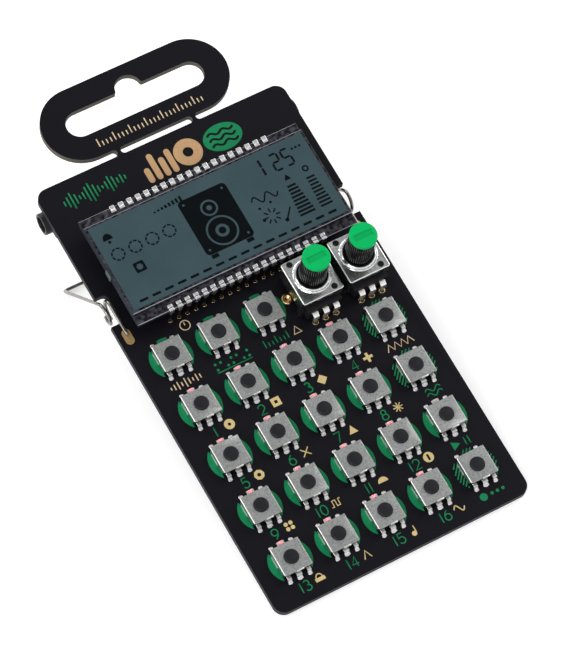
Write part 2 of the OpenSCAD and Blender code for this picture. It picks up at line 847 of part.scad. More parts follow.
// A clip at a cell's left end: two arms round the cell, a base on the board and an end wall
module cell_clip() {
    end_x = -cell_l / 2;
    base_z = back_z - cell_z;
    translate([end_x + clip_inset, 0, 0]) difference() {
        along_x(clip_r + clip_t, clip_w);
        translate([-cut, 0, 0]) along_x(clip_r, clip_w + 2 * cut);
        block([-cut, -cell_d, -cell_d], [clip_w + cut, cell_d, -clip_open]);
    }
    difference() {
        block([end_x - clip_t, -3.2, base_z - clip_t], [end_x + clip_inset + clip_w, 3.2, base_z]);
        translate([end_x - cut, 0, 0]) along_x(clip_r, cell_l);
    }
    block([end_x - clip_t, -3.2, -clip_open], [end_x, 3.2, base_z]);
}

module cell_clips() {
    color("#c3c5c8") on_stand() for (row = sides, side = sides)
        translate([mid_x, cell_mid_y + row * cell_pitch / 2, cell_z]) scale([side, 1, 1]) cell_clip();
}

// ---------- speaker ----------

module at_speaker() {
    translate([mid_x, speaker_y, back_z]) mirror([0, 0, 1]) children();
}

module speaker_frame() {
    r = speaker_d / 2;
    wall = 0.8;
    lip = 1.2;
    lip_t = 0.4;
    color("#26272b") on_stand() at_speaker() rotate_extrude() polygon([
        [r / 3 + 0.4, 0], [r, 0], [r, speaker_t],
        [r - wall - lip, speaker_t], [r - wall - lip, speaker_t - lip_t],
        [r - wall, speaker_t - lip_t], [r - wall, 0.4], [r / 3 + 0.4, 0.4]
    ]);
}

// Thin cone with a rolled edge, clamped under the frame's lip
module speaker_cone() {
    r = speaker_d / 2 - 0.85;
    skin = 0.15;
    top = speaker_t - 0.4;
    roll = 1.1;
    ridge = [for (a = [180:-30:0]) [r - 2.2 + roll * cos(a), top - skin - roll * 0.5 * sin(a)]];
    edge = [[r, top], [r - 1.1, top]];
    color("#46484d") on_stand() at_speaker() rotate_extrude() polygon(concat(
        [[0, top - 0.9], [r - 3.3, top]], [edge[1]], [edge[0]], [[r, top - skin], [r - 1.1, top - skin]],
        [for (i = [5:-1:1]) ridge[i]], [[r - 3.3, top - skin], [0, top - 0.9 - skin]]
    ));
}

module speaker_magnet() {
    color("#8e9093") on_stand() at_speaker() cylinder(r = speaker_d / 6, h = speaker_t / 2 - 0.1);
}

// ---------- chips ----------

module processor() {
    half = processor_w / 2;
    color("#1c1d20") on_stand() translate([processor_x, chip_y, back_z]) mirror([0, 0, 1]) {
        block([-half, -half, 0], [half, half, processor_t]);
        for (turn = [0:90:270], i = [0:chip_leads - 1]) rotate(turn)
            translate([(i - (chip_leads - 1) / 2) * lead_pitch - lead_w / 2, half, 0])
                cube([lead_w, lead_out, 0.25]);
    }
}

module sound_converter() {
    half = converter_w / 2;
    color("#1e1f22") on_stand() translate([converter_x, chip_y, back_z]) mirror([0, 0, 1])
        block([-half, -half, 0], [half, half, 0.9]);
}

module crystal() {
    color("#c6c8cb") on_stand() translate([crystal_x, chip_y, back_z]) mirror([0, 0, 1])
        linear_extrude(1) rounded_plate(3.2, 2.5, 0.5);
}

// Resistors and capacitors: a row above the converter and the crystal, and two by the speaker
module small_parts() {
    row_y = chip_y + converter_w / 2 + 1.2;
    tall_x = mid_x - speaker_d / 2 - 2 * tall_size[0];
    color("#b7a98c") on_stand() {
        for (i = [-2:2])
            translate([converter_x + i * small_pitch - small_size[0] / 2, row_y, back_z - small_size[2]])
                cube(small_size);
        for (i = [-1:1]) translate([crystal_x - small_pitch + i * small_pitch - small_size[0] / 2, row_y,
            back_z - small_size[2]]) cube(small_size);
        both_sides() translate([tall_x, speaker_y + tall_size[1], back_z - tall_size[2]])
            cube(tall_size);
    }
}

// ---------- nodes ----------

circuit_board();
plated_sleeves();
key_bases();
key_covers();
key_legs();
key_domes();
key_lights();
display_rear_glass();
display_front_glass();
display_rear_film();
display_front_film();
display_pins();
dial_bases();
dial_covers();
dial_terminals();
dial_tracks();
dial_shaft_left();
dial_shaft_right();
dial_cap_left();
dial_cap_right();
dial_wiper_left();
dial_wiper_right();
stand_bail();
stand_springs();
socket_left();
socket_right();
socket_contacts();
cell_upper();
cell_lower();
cell_clips();
speaker_frame();
speaker_cone();
speaker_magnet();
processor();
sound_converter();
crystal();
small_parts();
for (b = BUTTONS)
    button(b[1], b[2]);
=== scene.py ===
"""Dresses a pocket drum machine: finishes, printed marks, solder, display, cells, light and camera.

Every new piece is drawn in millimetres on the leaning board's own axes (X to the right, Y up the
board, Z out of its front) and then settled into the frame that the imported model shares.
"""

from __future__ import annotations

import logging
import math
from collections.abc import Callable, Iterator, Sequence
from contextlib import contextmanager
from dataclasses import dataclass, field
from enum import Enum
from typing import Any

import bmesh
import bpy
from mathutils import Matrix, Vector

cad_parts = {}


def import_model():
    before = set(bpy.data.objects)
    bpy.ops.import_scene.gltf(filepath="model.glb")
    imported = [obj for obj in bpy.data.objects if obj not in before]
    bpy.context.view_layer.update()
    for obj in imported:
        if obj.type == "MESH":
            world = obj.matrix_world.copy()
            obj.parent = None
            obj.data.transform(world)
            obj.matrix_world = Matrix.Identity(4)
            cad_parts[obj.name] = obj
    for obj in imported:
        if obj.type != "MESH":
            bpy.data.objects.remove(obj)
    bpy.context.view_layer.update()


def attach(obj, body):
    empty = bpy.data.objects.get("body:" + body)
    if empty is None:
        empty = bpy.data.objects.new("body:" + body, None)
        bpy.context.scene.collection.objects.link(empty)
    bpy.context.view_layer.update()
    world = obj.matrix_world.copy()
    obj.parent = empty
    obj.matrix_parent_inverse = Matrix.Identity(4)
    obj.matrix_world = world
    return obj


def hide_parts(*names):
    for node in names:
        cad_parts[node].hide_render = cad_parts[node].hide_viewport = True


log = logging.getLogger("drum_machine")

Object = bpy.types.Object
Point = tuple[float, float]
Loop = list[Point]

MM = 0.001
# The height of a print's face, and of the board's back
INK = 0.02
BACK = -1.6
# The two dials' axes
DIALS = (41.2, 52.4)
DIAL_Y = 60.6
# The leaning board's axes in the shared frame
SLOPE = math.radians(12.132904362261693)
CORNER = Vector((-30.0, -61.32094554390943, 1.5642603100694927))
TO_FRAME = Matrix.Scale(MM, 4) @ Matrix.Translation(CORNER) @ Matrix.Rotation(SLOPE, 4, "X")
TO_BOARD = TO_FRAME.inverted()
RIGHT = Vector((1.0, 0.0, 0.0))
UPWARD = Vector((0.0, math.cos(SLOPE), math.sin(SLOPE)))
OUTWARD = Vector((0.0, -math.sin(SLOPE), math.cos(SLOPE)))


# ---------------------------------------------------------------- the workbench


def take(*pieces: Object) -> None:
    """Selects the given pieces alone and makes the last of them active."""
    bpy.ops.object.select_all(action="DESELECT")
    for piece in pieces:
        piece.select_set(True)
    bpy.context.view_layer.objects.active = pieces[-1]


@contextmanager
def editing(piece: Object) -> Iterator[None]:
    """Opens a piece in edit mode with everything selected, and closes it again.

    Args:
        piece: The mesh piece to open.
    """
    take(piece)
    bpy.ops.object.mode_set(mode="EDIT")
    bpy.ops.mesh.select_all(action="SELECT")
    try:
        yield
    finally:
        bpy.ops.object.mode_set(mode="OBJECT")


class Part(Enum):
    """The kinds of mesh element that can be picked."""

    FACE = "faces"
    EDGE = "edges"
    VERT = "verts"


def pick(kind: Part, test: Callable[[Any], bool]) -> None:
    """Selects some of the open mesh's elements.

    Args:
        kind: Which kind of them.
        test: Takes an element, and says whether to select it.
    """
    bpy.ops.mesh.select_mode(type=kind.name)
    mesh = bpy.context.edit_object.data
    shape = bmesh.from_edit_mesh(mesh)
    for element in getattr(shape, kind.value):
        element.select_set(test(element))
    if kind is Part.VERT:
        shape.select_flush_mode()
    bmesh.update_edit_mesh(mesh)


def pick_faces(test: Callable[[Vector, Vector], bool]) -> None:
    """Selects the open mesh's faces by their centre and normal."""
    pick(Part.FACE, lambda face: test(face.calc_center_median(), face.normal))


def keep_above(height: float, side: int = 1) -> None:
    """Cuts the open mesh at a height, keeps what is above it or, where side is -1, below, and closes it."""
    bpy.ops.mesh.select_all(action="SELECT")
    bpy.ops.mesh.bisect(plane_co=(0, 0, height), plane_no=(0, 0, side), clear_inner=True, use_fill=True)


def stretch(size: Sequence[float]) -> None:
    """Scales what is selected in the open mesh about the origin."""
    bpy.ops.transform.resize(value=size, center_override=(0, 0, 0))


def name_piece(name: str) -> Object:
    """Names the active object and its mesh, leaves its place in its mesh and returns it.

    Args:
        name: Its name.

    Returns:
        The piece.
    """
    piece = bpy.context.object
    piece.name = piece.data.name = name
    bpy.ops.object.transform_apply()
    return piece


def smooth(piece: Object, angle: float = 35.0) -> Object:
    """Shades a piece smooth across every edge that is flatter than an angle in degrees.

    Args:
        piece: The piece.
        angle: The angle in degrees.

    Returns:
        The same piece.
    """
    take(piece)
    bpy.ops.object.shade_smooth_by_angle(angle=math.radians(angle))
    return piece


def block(low: Sequence[float], high: Sequence[float], bevel: float, segments: int = 2) -> Object:
    """A block between two corners, with every edge bevelled.

    Args:
        low: Its lowest corner on the board's axes.
        high: Its highest corner.
        bevel: The bevel's width.
        segments: The bevel's steps.

    Returns:
        The piece.
    """
    bpy.ops.mesh.primitive_cube_add(size=1.0, location=[(a + b) / 2 for a, b in zip(low, high)])
    bpy.context.object.scale = [b - a for a, b in zip(low, high)]
    piece = name_piece("block")
    with editing(piece):
        bpy.ops.mesh.bevel(offset=bevel, segments=segments, affect="EDGES")
    return piece


def solder_drop(size: Sequence[float], foot: float = 0.0, side: int = 1) -> Object:
    """A drop of solder that spreads from its crown to a thin skirt.

    Args:
        size: Its half length, its half width and its height.
        foot: The height of the surface that it sits on.
        side: 1 where it stands on the board's front, and -1 on its back.

    Returns:
        The piece, about the board's origin.
    """
    bpy.ops.mesh.primitive_uv_sphere_add(segments=12, ring_count=8, radius=1.0)
    drop = name_piece("drop")
    with editing(drop):
        keep_above(0)
        for low in (0.3, 0.6):
            pick(Part.VERT, lambda corner: corner.co.z > low)
            stretch((0.8, 0.8, 1.0))
        bpy.ops.mesh.select_all(action="SELECT")
        stretch((size[0], size[1], size[2] * side))
        bpy.ops.transform.translate(value=(0, 0, foot))
        bpy.ops.mesh.normals_make_consistent(inside=False)
    return smooth(drop, 50.0)


def drawn(name: str, lines: Sequence[Loop], closed: Sequence[bool], height: float, thin: float = 1.0,
          **settings: Any) -> Object:
    """Draws lines as a curve and turns it into a closed mesh with merged corners.

    Args:
        name: The piece's name.
        lines: The lines' points on the board's X and Y.
        closed: For each line, whether its end joins its start.
        height: The height of its middle.
        thin: The share of its thickness that is kept.
        settings: The curve's own settings.

    Returns:
        The piece.
    """
    curve = bpy.data.curves.new(name, "CURVE")
    for setting, value in settings.items():
        setattr(curve, setting, value)
    for points, cyclic in zip(lines, closed):
        spline = curve.splines.new("POLY")
        spline.points.add(len(points) - 1)
        for point, (x, y) in zip(spline.points, points):
            point.co = (x, y, 0.0, 1.0)
        spline.use_cyclic_u = cyclic
    piece = bpy.data.objects.new(name, curve)
    bpy.context.scene.collection.objects.link(piece)
    piece.scale.z, piece.location.z = thin, height
    take(piece)
    bpy.ops.object.convert(target="MESH")
    piece = bpy.context.object
    bpy.ops.object.transform_apply()
    with editing(piece):
        bpy.ops.mesh.remove_doubles(threshold=0.0005)
        bpy.ops.mesh.normals_make_consistent(inside=False)
    return piece


def flat_print(name: str, loops: Sequence[Loop], low: float = 0.0, high: float = INK) -> Object:
    """A thin print between two heights, cut out of closed outlines. An outline inside another is a hole."""
    return drawn(name, loops, [True] * len(loops), (low + high) / 2, dimensions="2D", fill_mode="BOTH",
                 extrude=(high - low) / 2)


def line_print(name: str, lines: Sequence[Loop], width: float, low: float = 0.0, rise: float = INK,
               side: int = 1) -> Object:
    """Printed lines whose ink stands highest along their middle.

    Args:
        name: The piece's name.
        lines: The lines' points on the board's X and Y. A line that ends where it starts is closed.
        width: The lines' width.
        low: The height of the surface that they are printed on.
        rise: How high the ink stands.
        side: 1 where it stands on the board's front, and -1 on its back.

    Returns:
        The piece, as a mesh on the board's axes.
    """
    closed = [math.dist(line[0], line[-1]) < 1e-6 for line in lines]
    points = [line[:-1] if ring else line for line, ring in zip(lines, closed)]
    piece = drawn(name, points, closed, low, rise / (width / 2), dimensions="3D", bevel_depth=width / 2,
                  bevel_resolution=1, use_fill_caps=True)
    with editing(piece):
        keep_above(low, side)
    return piece


def soften(node: str, width: float, piece_name: str, segments: int = 2,
           where: Callable[[Vector], bool] | None = None) -> Object:
    """Copies a CAD node and rounds its sharp edges as tooling leaves them.

    Args:
        node: The node to copy.
        width: The width of the rounding, in millimetres.
        piece_name: The new piece's name.
        segments: The rounding's steps.
        where: Takes an edge's middle on the board's axes, and says whether to round it. Without it,
            every edge that turns more than 30 degrees is rounded.

    Returns:
        The piece, in the shared frame.
    """
    take(bpy.data.objects[node])
    bpy.ops.object.duplicate(linked=False)
    piece = name_piece(piece_name)
    piece.data.materials.clear()
    with editing(piece):
        bpy.ops.mesh.remove_doubles(threshold=2e-6)
        bpy.ops.mesh.dissolve_limited(angle_limit=math.radians(1.0))
        if where:
            pick(Part.EDGE, lambda edge: where(TO_BOARD @ ((edge.verts[0].co + edge.verts[1].co) / 2)))
            bpy.ops.mesh.bevel(offset=width * MM, segments=segments, affect="EDGES")
    if width and not where:
        rounding = piece.modifiers.new("rounding", "BEVEL")
        rounding.width, rounding.segments = width * MM, segments
        rounding.limit_method, rounding.angle_limit = "ANGLE", math.radians(30.0)
        rounding.use_clamp_overlap = True
        take(piece)
        bpy.ops.object.modifier_apply(modifier=rounding.name)
    # A wide flat face must keep its own normal, so a rounding's steps stay sharp
    return smooth(piece, 20.0 if width else 40.0)


# ---------------------------------------------------------------- outlines of prints


def arc_line(x: float, y: float, width: float, height: float, start: float, end: float, steps: int = 16) -> Loop:
    """A line along an ellipse between two angles in degrees."""
    turns = [math.radians(start + (end - start) * i / steps) for i in range(steps + 1)]
    return [(x + width * math.cos(a), y + height * math.sin(a)) for a in turns]


def circle_loop(x: float, y: float, radius: float, steps: int = 32) -> Loop:
    """A round outline about a centre."""
    turn = 2 * math.pi / steps
    return [(x + radius * math.cos(i * turn), y + radius * math.sin(i * turn)) for i in range(steps)]


def box_loop(x0: float, y0: float, x1: float, y1: float) -> Loop:
    """A rectangular outline between two corners."""
    return [(x0, y0), (x1, y0), (x1, y1), (x0, y1)]


def round_box_loop(x0: float, y0: float, x1: float, y1: float, radius: float) -> Loop:
    """A rectangular outline with round corners.

    Args:
        x0: Its left side.
        y0: Its lower side.
        x1: Its right side.
        y1: Its upper side.
        radius: The radius of its corners.

    Returns:
        The outline.
    """
    left, low, right, high = x0 + radius, y0 + radius, x1 - radius, y1 - radius
    middles = ((right, high), (left, high), (left, low), (right, low))
    return [point for i, (x, y) in enumerate(middles)
            for point in arc_line(x, y, radius, radius, 90 * i, 90 * i + 90, 5)]


def stroke_loop(points: Sequence[Point], width: float, steps: int = 6) -> Loop:
    """The outline of a pen stroke with round ends along a line of points.

    Args:
        points: The line's points.
        width: The stroke's width.
        steps: The steps round each end.

    Returns:
        The closed outline.
    """
    half = width / 2
    line = [Vector(p) for p in points]
    sides: tuple[Loop, Loop] = ([], [])
    for i, here in enumerate(line):
        before = (here - line[i - 1] if i else line[1] - here).normalized()
        after = (line[i + 1] - here if i < len(line) - 1 else here - line[i - 1]).normalized()
        across = Vector((-(before + after).y, (before + after).x)).normalized() * half
        sides[0].append(tuple(here + across))
        sides[1].append(tuple(here - across))
    ends = []
    for tip, inner in ((line[-1], line[-2]), (line[0], line[1])):
        out = math.degrees(math.atan2(tip.y - inner.y, tip.x - inner.x))
        ends.append(arc_line(tip.x, tip.y, half, half, out + 90, out - 90, steps)[1:-1])
    return sides[0] + ends[0] + sides[1][::-1] + ends[1]


def wave_line(x0: float, x1: float, y: float, height: float, turns: float, steps: int = 40) -> Loop:
    """A sine wave's line between two places."""
    return [(x0 + (x1 - x0) * i / steps, y + height * math.sin(2 * math.pi * turns * i / steps))
            for i in range(steps + 1)]


# ---------------------------------------------------------------- finishes


def linear(colour: str) -> tuple[float, float, float, float]:
    """Turns an sRGB hex colour such as #1a1a20 into linear RGBA.

    Args:
        colour: The colour as hex digits.

    Returns:
        Its red, green, blue and alpha.
    """
    parts = [int(colour[i:i + 2], 16) / 255 for i in (1, 3, 5)]
    red, green, blue = (c / 12.92 if c <= 0.04045 else ((c + 0.055) / 1.055) ** 2.4 for c in parts)
    return red, green, blue, 1.0


class Nodes:
    """A node tree, with a short call for each kind of node that the finishes share."""

    def __init__(self, tree: bpy.types.NodeTree) -> None:
        """Keeps the tree and adds its coordinates.

        Args:
            tree: The node tree.
        """
        self.tree = tree
        self.coordinates = self.add("TexCoord")
        self.place = self.coordinates["Object"]

    def feed(self, node: bpy.types.Node, links: dict[Any, Any]) -> None:
        """Links or sets a node's inputs.

        Args:
            node: The node.
            links: For each input, the output that feeds it or its value. A colour may be in hex.
        """
        for socket, value in links.items():
            if isinstance(value, bpy.types.NodeSocket):
                self.tree.links.new(value, node.inputs[socket])
            else:
                node.inputs[socket].default_value = linear(value) if isinstance(value, str) else value

    def add(self, kind: str, links: dict[Any, Any] | None = None, **settings: Any) -> Any:
        """Adds a shader node.

        Args:
            kind: The node's type, without the words that all shader nodes start with.
            links: What feeds its inputs.
            settings: The node's own settings.

        Returns:
            The node's outputs.
        """
        node = self.tree.nodes.new("ShaderNode" + kind)
        for name, value in settings.items():
            setattr(node, name, value)
        self.feed(node, links or {})
        return node.outputs

    def maths(self, operation: str, *values: Any) -> bpy.types.NodeSocket:
        """The result of a sum on outputs or numbers."""
        return self.add("Math", dict(enumerate(values)), operation=operation)[0]

    def along(self, vector: bpy.types.NodeSocket, direction: Vector) -> bpy.types.NodeSocket:
        """How far a vector reaches in a direction."""
        return self.add("VectorMath", {0: vector, 1: direction}, operation="DOT_PRODUCT")["Value"]

    def facing(self, direction: Vector) -> bpy.types.NodeSocket:
        """How squarely the surface faces a direction or its opposite."""
        return self.maths("ABSOLUTE", self.along(self.coordinates["Normal"], direction))

    def noise(self, size: float, detail: float, place: bpy.types.NodeSocket | None = None) -> bpy.types.NodeSocket:
        """Noise of a size in millimetres."""
        links = {"Vector": place or self.place, "Scale": 1 / (size * MM), "Detail": detail}
        return self.add("TexNoise", links)["Fac"]

    def ramp(self, value: bpy.types.NodeSocket, low: float = 0.0, high: float = 1.0, to_low: float = 0.0,
             to_high: float = 1.0) -> bpy.types.NodeSocket:
        """A value that runs between two limits as another does."""
        return self.add("MapRange", {"Value": value, "From Min": low, "From Max": high, "To Min": to_low,
                                     "To Max": to_high})[0]

    def mix(self, factor: bpy.types.NodeSocket, first: Any, second: Any, blend: str = "MIX") -> bpy.types.NodeSocket:
        """A mix of two colours, each in hex or an output."""
        return self.add("Mix", {"Factor": factor, "A": first, "B": second}, data_type="RGBA",
                        blend_type=blend)["Result"]

    def bump(self, height: bpy.types.NodeSocket, relief: float) -> bpy.types.NodeSocket:
        """A relief of a depth in millimetres."""
        return self.add("Bump", {"Height": height, "Strength": 1.0, "Distance": relief * MM})[0]


@dataclass(frozen=True)
class Finish:
    """What every finish has: its name, its colour and how its surface takes light."""

    name: str
    colour: str
    roughness: float = 0.5
    metallic: float = 0.0
    ior: float = 1.5

    def material(self) -> bpy.types.Material:
        """Makes the material, once for each finish, with its plain values on the shader's own sockets."""
        material = bpy.data.materials.get(self.name)
        if not material:
            material = bpy.data.materials.new(self.name)
            material.use_nodes = True
            nodes, shader = Nodes(material.node_tree), material.node_tree.nodes["Principled BSDF"]
            nodes.feed(shader, {"Base Color": self.colour, "Roughness": self.roughness, "Metallic": self.metallic,
                                "IOR": self.ior})
            nodes.feed(shader, self.surface(nodes))
        return material

    def surface(self, nodes: Nodes) -> dict[str, Any]:
        """Makes the finish's nodes, and says what each feeds on the shader."""
        raise NotImplementedError

    def dress(self, piece: Object | str) -> None:
        """Gives a piece, or the CAD node of a name, this finish alone.

        Args:
            piece: The piece, or the CAD node's name.
        """
        mesh = (bpy.data.objects[piece] if isinstance(piece, str) else piece).data
        mesh.materials.clear()
        mesh.materials.append(self.material())
        for face in mesh.polygons:
            face.material_index = 0


@dataclass(frozen=True)
class Grained(Finish):
    """A surface whose colour, gloss and relief vary with its own fine grain, sizes in millimetres."""

    second: str = "#808080"
    grain: float = 0.2
    relief: float = 0.006
    patch: float = 0.8
    mottle: float = 0.5
    spread: float = 0.08
    stretch: tuple[float, float, float] = (1.0, 1.0, 1.0)
    coat: float = 0.0
    glow: float = 0.0

    def surface(self, nodes: Nodes) -> dict[str, Any]:
        """Makes fine grain for relief and gloss, and wide patches for colour.

        Args:
            nodes: The material's nodes.

        Returns:
            What feeds the shader's named inputs.
        """
        turned = nodes.add("Mapping", {"Vector": nodes.place, "Scale": self.stretch})[0]
        fine = nodes.noise(self.grain, 3.0, turned)
        amount = nodes.ramp(nodes.noise(self.patch, 4.0, turned), 0.3, 0.7, 0.0, self.mottle)
        made = {"Base Color": nodes.mix(nodes.maths("MULTIPLY", fine, amount), self.colour, self.second),
                "Roughness": nodes.ramp(fine, 0.25, 0.75, max(0.02, self.roughness - self.spread),
                                        self.roughness + self.spread),
                "Normal": nodes.bump(fine, self.relief)}
        if self.coat:
            made |= {"Coat Weight": self.coat, "Coat Roughness": 0.08}
        if self.glow:
            made |= {"Emission Color": self.second, "Emission Strength": self.glow}
        return made


@dataclass(frozen=True)
class Metal(Grained):
    """Bare or plated metal."""

    metallic: float = 1.0
    relief: float = 0.004


@dataclass(frozen=True)
class DippedTin(Metal):
    """Pressed tin that is painted darker below a height on the board, as a painted reflection of the dark board."""

    dull: str = "#4b4a48"
    dipped_from: float = 3.6

    def surface(self, nodes: Nodes) -> dict[str, Any]:
        """Makes the tin, and paints it darker below the given height as a reflection of the dark board.

        Args:
            nodes: The material's nodes.

        Returns:
            What feeds the shader's named inputs.
        """
        made = super().surface(nodes)
        end = (TO_FRAME @ Vector((0.0, 0.0, self.dipped_from))).dot(OUTWARD)
        above = nodes.maths("GREATER_THAN", nodes.along(nodes.place, OUTWARD), end)
        return made | {"Base Color": nodes.mix(above, self.dull, made["Base Color"])}


@dataclass(frozen=True)
class MaskedLaminate(Finish):
    """Glass-fibre laminate under black solder mask, dark where it is routed and tan where it snaps."""

    pour: str = "#08080e"
    routed: tuple[str, str] = ("#18171a", "#343336")
    bare: tuple[str, str] = ("#35322d", "#6c675c")
    bare_from: float = 106.5
    layer: float = 0.2
    weave: float = 0.35

    def surface(self, nodes: Nodes) -> dict[str, Any]:
        """Makes the mask with faint copper under it, and the edge in layers.

        Args:
            nodes: The material's nodes.

        Returns:
            What feeds the shader's named inputs.
        """
        cut = nodes.maths("LESS_THAN", nodes.facing(OUTWARD), 0.5)
        pours = nodes.add("TexVoronoi", {"Vector": nodes.place, "Scale": 1 / (5 * MM)}, distance="CHEBYCHEV")
        mask = nodes.mix(nodes.maths("MULTIPLY", pours["Distance"], nodes.noise(9, 3.0)), self.colour, self.pour)
        layers = nodes.maths("MULTIPLY", nodes.along(nodes.place, OUTWARD), 2 * math.pi / (self.layer * MM))
        strand = nodes.maths("MULTIPLY_ADD", nodes.maths("SINE", layers), 0.25, nodes.noise(self.weave, 4.0))
        snapped = nodes.maths("GREATER_THAN", nodes.along(nodes.place, UPWARD),
                              (CORNER.dot(UPWARD) + self.bare_from) * MM)
        edge = nodes.mix(snapped, nodes.mix(strand, *self.routed), nodes.mix(strand, *self.bare))
        return {"Base Color": nodes.mix(cut, mask, edge),
                "Roughness": nodes.ramp(cut, to_low=self.roughness, to_high=0.6),
                "Normal": nodes.bump(nodes.noise(0.35, 2.0), 0.004)}


@dataclass(frozen=True)
class CoatedGlass(Finish):
    """Display glass that is dark over its coated back, with a painted highlight along its upper and lower arrises."""

    second: str = "#4c4b54"
    edge: tuple[str, str] = ("#0c0e13", "#252d35")
    arris: tuple[str, str] = ("#6a6b72", "#b4b5bb")
    cloud: float = 0.9
    grind: float = 0.3

    def surface(self, nodes: Nodes) -> dict[str, Any]:
        """Makes clouded dark faces, frosted edges and a painted highlight along the upper and lower arrises.

        Args:
            nodes: The material's nodes.

        Returns:
            What feeds the shader's named inputs.
        """
        upright = nodes.facing(OUTWARD)
        ground = nodes.maths("LESS_THAN", upright, 0.95)
        face = nodes.mix(nodes.ramp(nodes.noise(self.cloud, 4.0), 0.38, 0.7), self.colour, self.second)
        scratch = nodes.noise(self.grind, 3.0)
        arris_highlight_mask = nodes.maths("GREATER_THAN", nodes.maths("MINIMUM", nodes.facing(UPWARD), upright), 0.4)
        rim = nodes.mix(arris_highlight_mask, nodes.mix(scratch, *self.edge), nodes.mix(scratch, *self.arris))
        return {"Base Color": nodes.mix(ground, face, rim),
                "Roughness": nodes.ramp(ground, to_low=self.roughness, to_high=0.5)}


@dataclass(frozen=True)
class SplinedAcetal(Finish):
    """Dense black acetal with a painted grey highlight down its spline crests."""

    crest: str = "#98989a"
    axis_x: float = DIALS[0]
    count: int = 40
    low: float = 7.75

    def surface(self, nodes: Nodes) -> dict[str, Any]:
        """Makes one painted highlight line down each spline, in patches, above the plain collar.

        Args:
            nodes: The material's nodes.

        Returns:
            What feeds the shader's named inputs.
        """
        foot = TO_FRAME @ Vector((self.axis_x, DIAL_Y, 0.0))
        from_axis = nodes.add("VectorMath", {0: nodes.place, 1: foot}, operation="SUBTRACT")["Vector"]
        up, across, out = (nodes.along(from_axis, way) for way in (UPWARD, RIGHT, OUTWARD))
        around = nodes.maths("MULTIPLY", nodes.maths("ARCTAN2", up, across), float(self.count))
        line = nodes.ramp(nodes.maths("COSINE", around), 0.75, 1.0)
        splined = nodes.maths("GREATER_THAN", out, self.low * MM)
        highlight_patches = nodes.ramp(nodes.noise(2.2, 3.0), 0.42, 0.62)
        painted_highlight = nodes.maths("MULTIPLY", nodes.maths("MULTIPLY", line, splined), highlight_patches)
        return {"Base Color": nodes.mix(painted_highlight, self.colour, self.crest)}


@dataclass(frozen=True)
class PrintedSleeve(Finish):
    """A cell's shrunk plastic sleeve, dark with one pale band at its button end."""

    band: str = "#aab0ad"
    band_from: float = 14.0
    side: int = 1

    def surface(self, nodes: Nodes) -> dict[str, Any]:
        """Makes the sleeve's two colours and its faint shrink ripple.

        Args:
            nodes: The material's nodes.

        Returns:
            What feeds the shader's named inputs.
        """
        across = nodes.add("SeparateXYZ", {0: nodes.place})["X"]
        banded = nodes.maths("GREATER_THAN", nodes.maths("MULTIPLY", across, float(self.side)), self.band_from * MM)
        ripple = nodes.noise(1.8, 2.0)
        tint = nodes.mix(banded, self.colour, self.band)
        return {"Base Color": nodes.mix(ripple, tint, "#6b7072", "SOFT_LIGHT"), "Normal": nodes.bump(ripple, 0.02)}


@dataclass(frozen=True)
class StudioPaper(Grained):
    """Pale paper that the camera, gloss and glass see as white, and that still takes a shadow."""

    lift: float = 0.3

    def surface(self, nodes: Nodes) -> dict[str, Any]:
        """Makes the paper and lifts it for those three kinds of ray.

        Args:
            nodes: The material's nodes.

        Returns:
            What feeds the shader's named inputs.
        """
        ray = nodes.add("LightPath")
        seen = nodes.maths("MAXIMUM", ray["Is Camera Ray"], ray["Is Glossy Ray"])
        seen = nodes.maths("MAXIMUM", seen, ray["Is Transmission Ray"])
        return super().surface(nodes) | {"Emission Color": "#ffffff",
                                         "Emission Strength": nodes.maths("MULTIPLY", seen, self.lift)}


# Solder mask over laminate: near-black and half glossy, with copper just showing as a change of tone
MASKED_BOARD = MaskedLaminate("masked_laminate", "#0b0b12", roughness=0.42, ior=1.25)
# Immersion gold on copper: soft, warm and slightly matt
GOLD = Metal("immersion_gold", "#dcb077", roughness=0.46, second="#f2d6a2", grain=0.12, patch=1.0)
# Gold pads and a pressed gold eyelet: brighter and glossier than the flat plating
GOLD_PAD = Metal("burnished_gold", "#e8cb94", roughness=0.2, second="#b98a45", relief=0.006, mottle=0.7)
# Solder that has taken up gold: warm and satin
GOLD_SOLDER = Metal("gilded_solder", "#d8b677", roughness=0.4, second="#f0dcb4", relief=0.012, patch=0.7, mottle=1.4)
# Screen-printed epoxy inks: flat colour with a fine mesh and thin places
GREEN_INK = Grained("green_ink", "#047d4d", roughness=0.55, ior=1.3, second="#056a41", grain=0.16, patch=0.9,
                    mottle=0.9)
CREAM_INK = Grained("cream_ink", "#d6c09c", roughness=0.55, ior=1.3, second="#b0956b", grain=0.12)
GOLD_INK = Grained("bare_gold_print", "#b8946d", ior=1.3, second="#9a7a52", grain=0.12, mottle=0.7)
# The same plating where it is printed small: thinner, so paler and yellower
PALE_GOLD = Grained("thin_gold_print", "#cfba85", ior=1.3, second="#ac935c", grain=0.12, patch=0.5, mottle=0.9)
# Rolled stainless sheet: grey with a fine matt grain
KEY_STEEL = Metal("rolled_stainless", "#babcba", roughness=0.46, second="#858988", relief=0.01, patch=0.4, mottle=1.5,
                  spread=0.12)
# The same sheet with a painted highlight, for its arrises and small edges where light catches
HIGHLIGHT_STEEL = Metal("bright_sheared_steel", "#fbfaf8", roughness=0.42, second="#d2d1cf")
# Tinned sheet steel: brighter, with a softer, larger bloom
DIAL_STEEL = Metal("tinned_sheet", "#e8e9e9", roughness=0.21, second="#b4b6b7", grain=0.25, relief=0.003, patch=0.5,
                   mottle=1.3, spread=0.07)
# Hot tin on pressed leads: nearly white, in soft streaks
BRIGHT_TIN = Metal("bright_tin", "#faf9f8", roughness=0.4, second="#cfcecd", grain=0.18, relief=0.006, spread=0.1)
# Clip pins: matt tin where they grip the glass, painted darker down their legs as a reflection of the dark board
PIN_TIN = DippedTin("matt_tin_pins", "#f6f6f6", roughness=0.3, second="#dcdbda", patch=0.9)
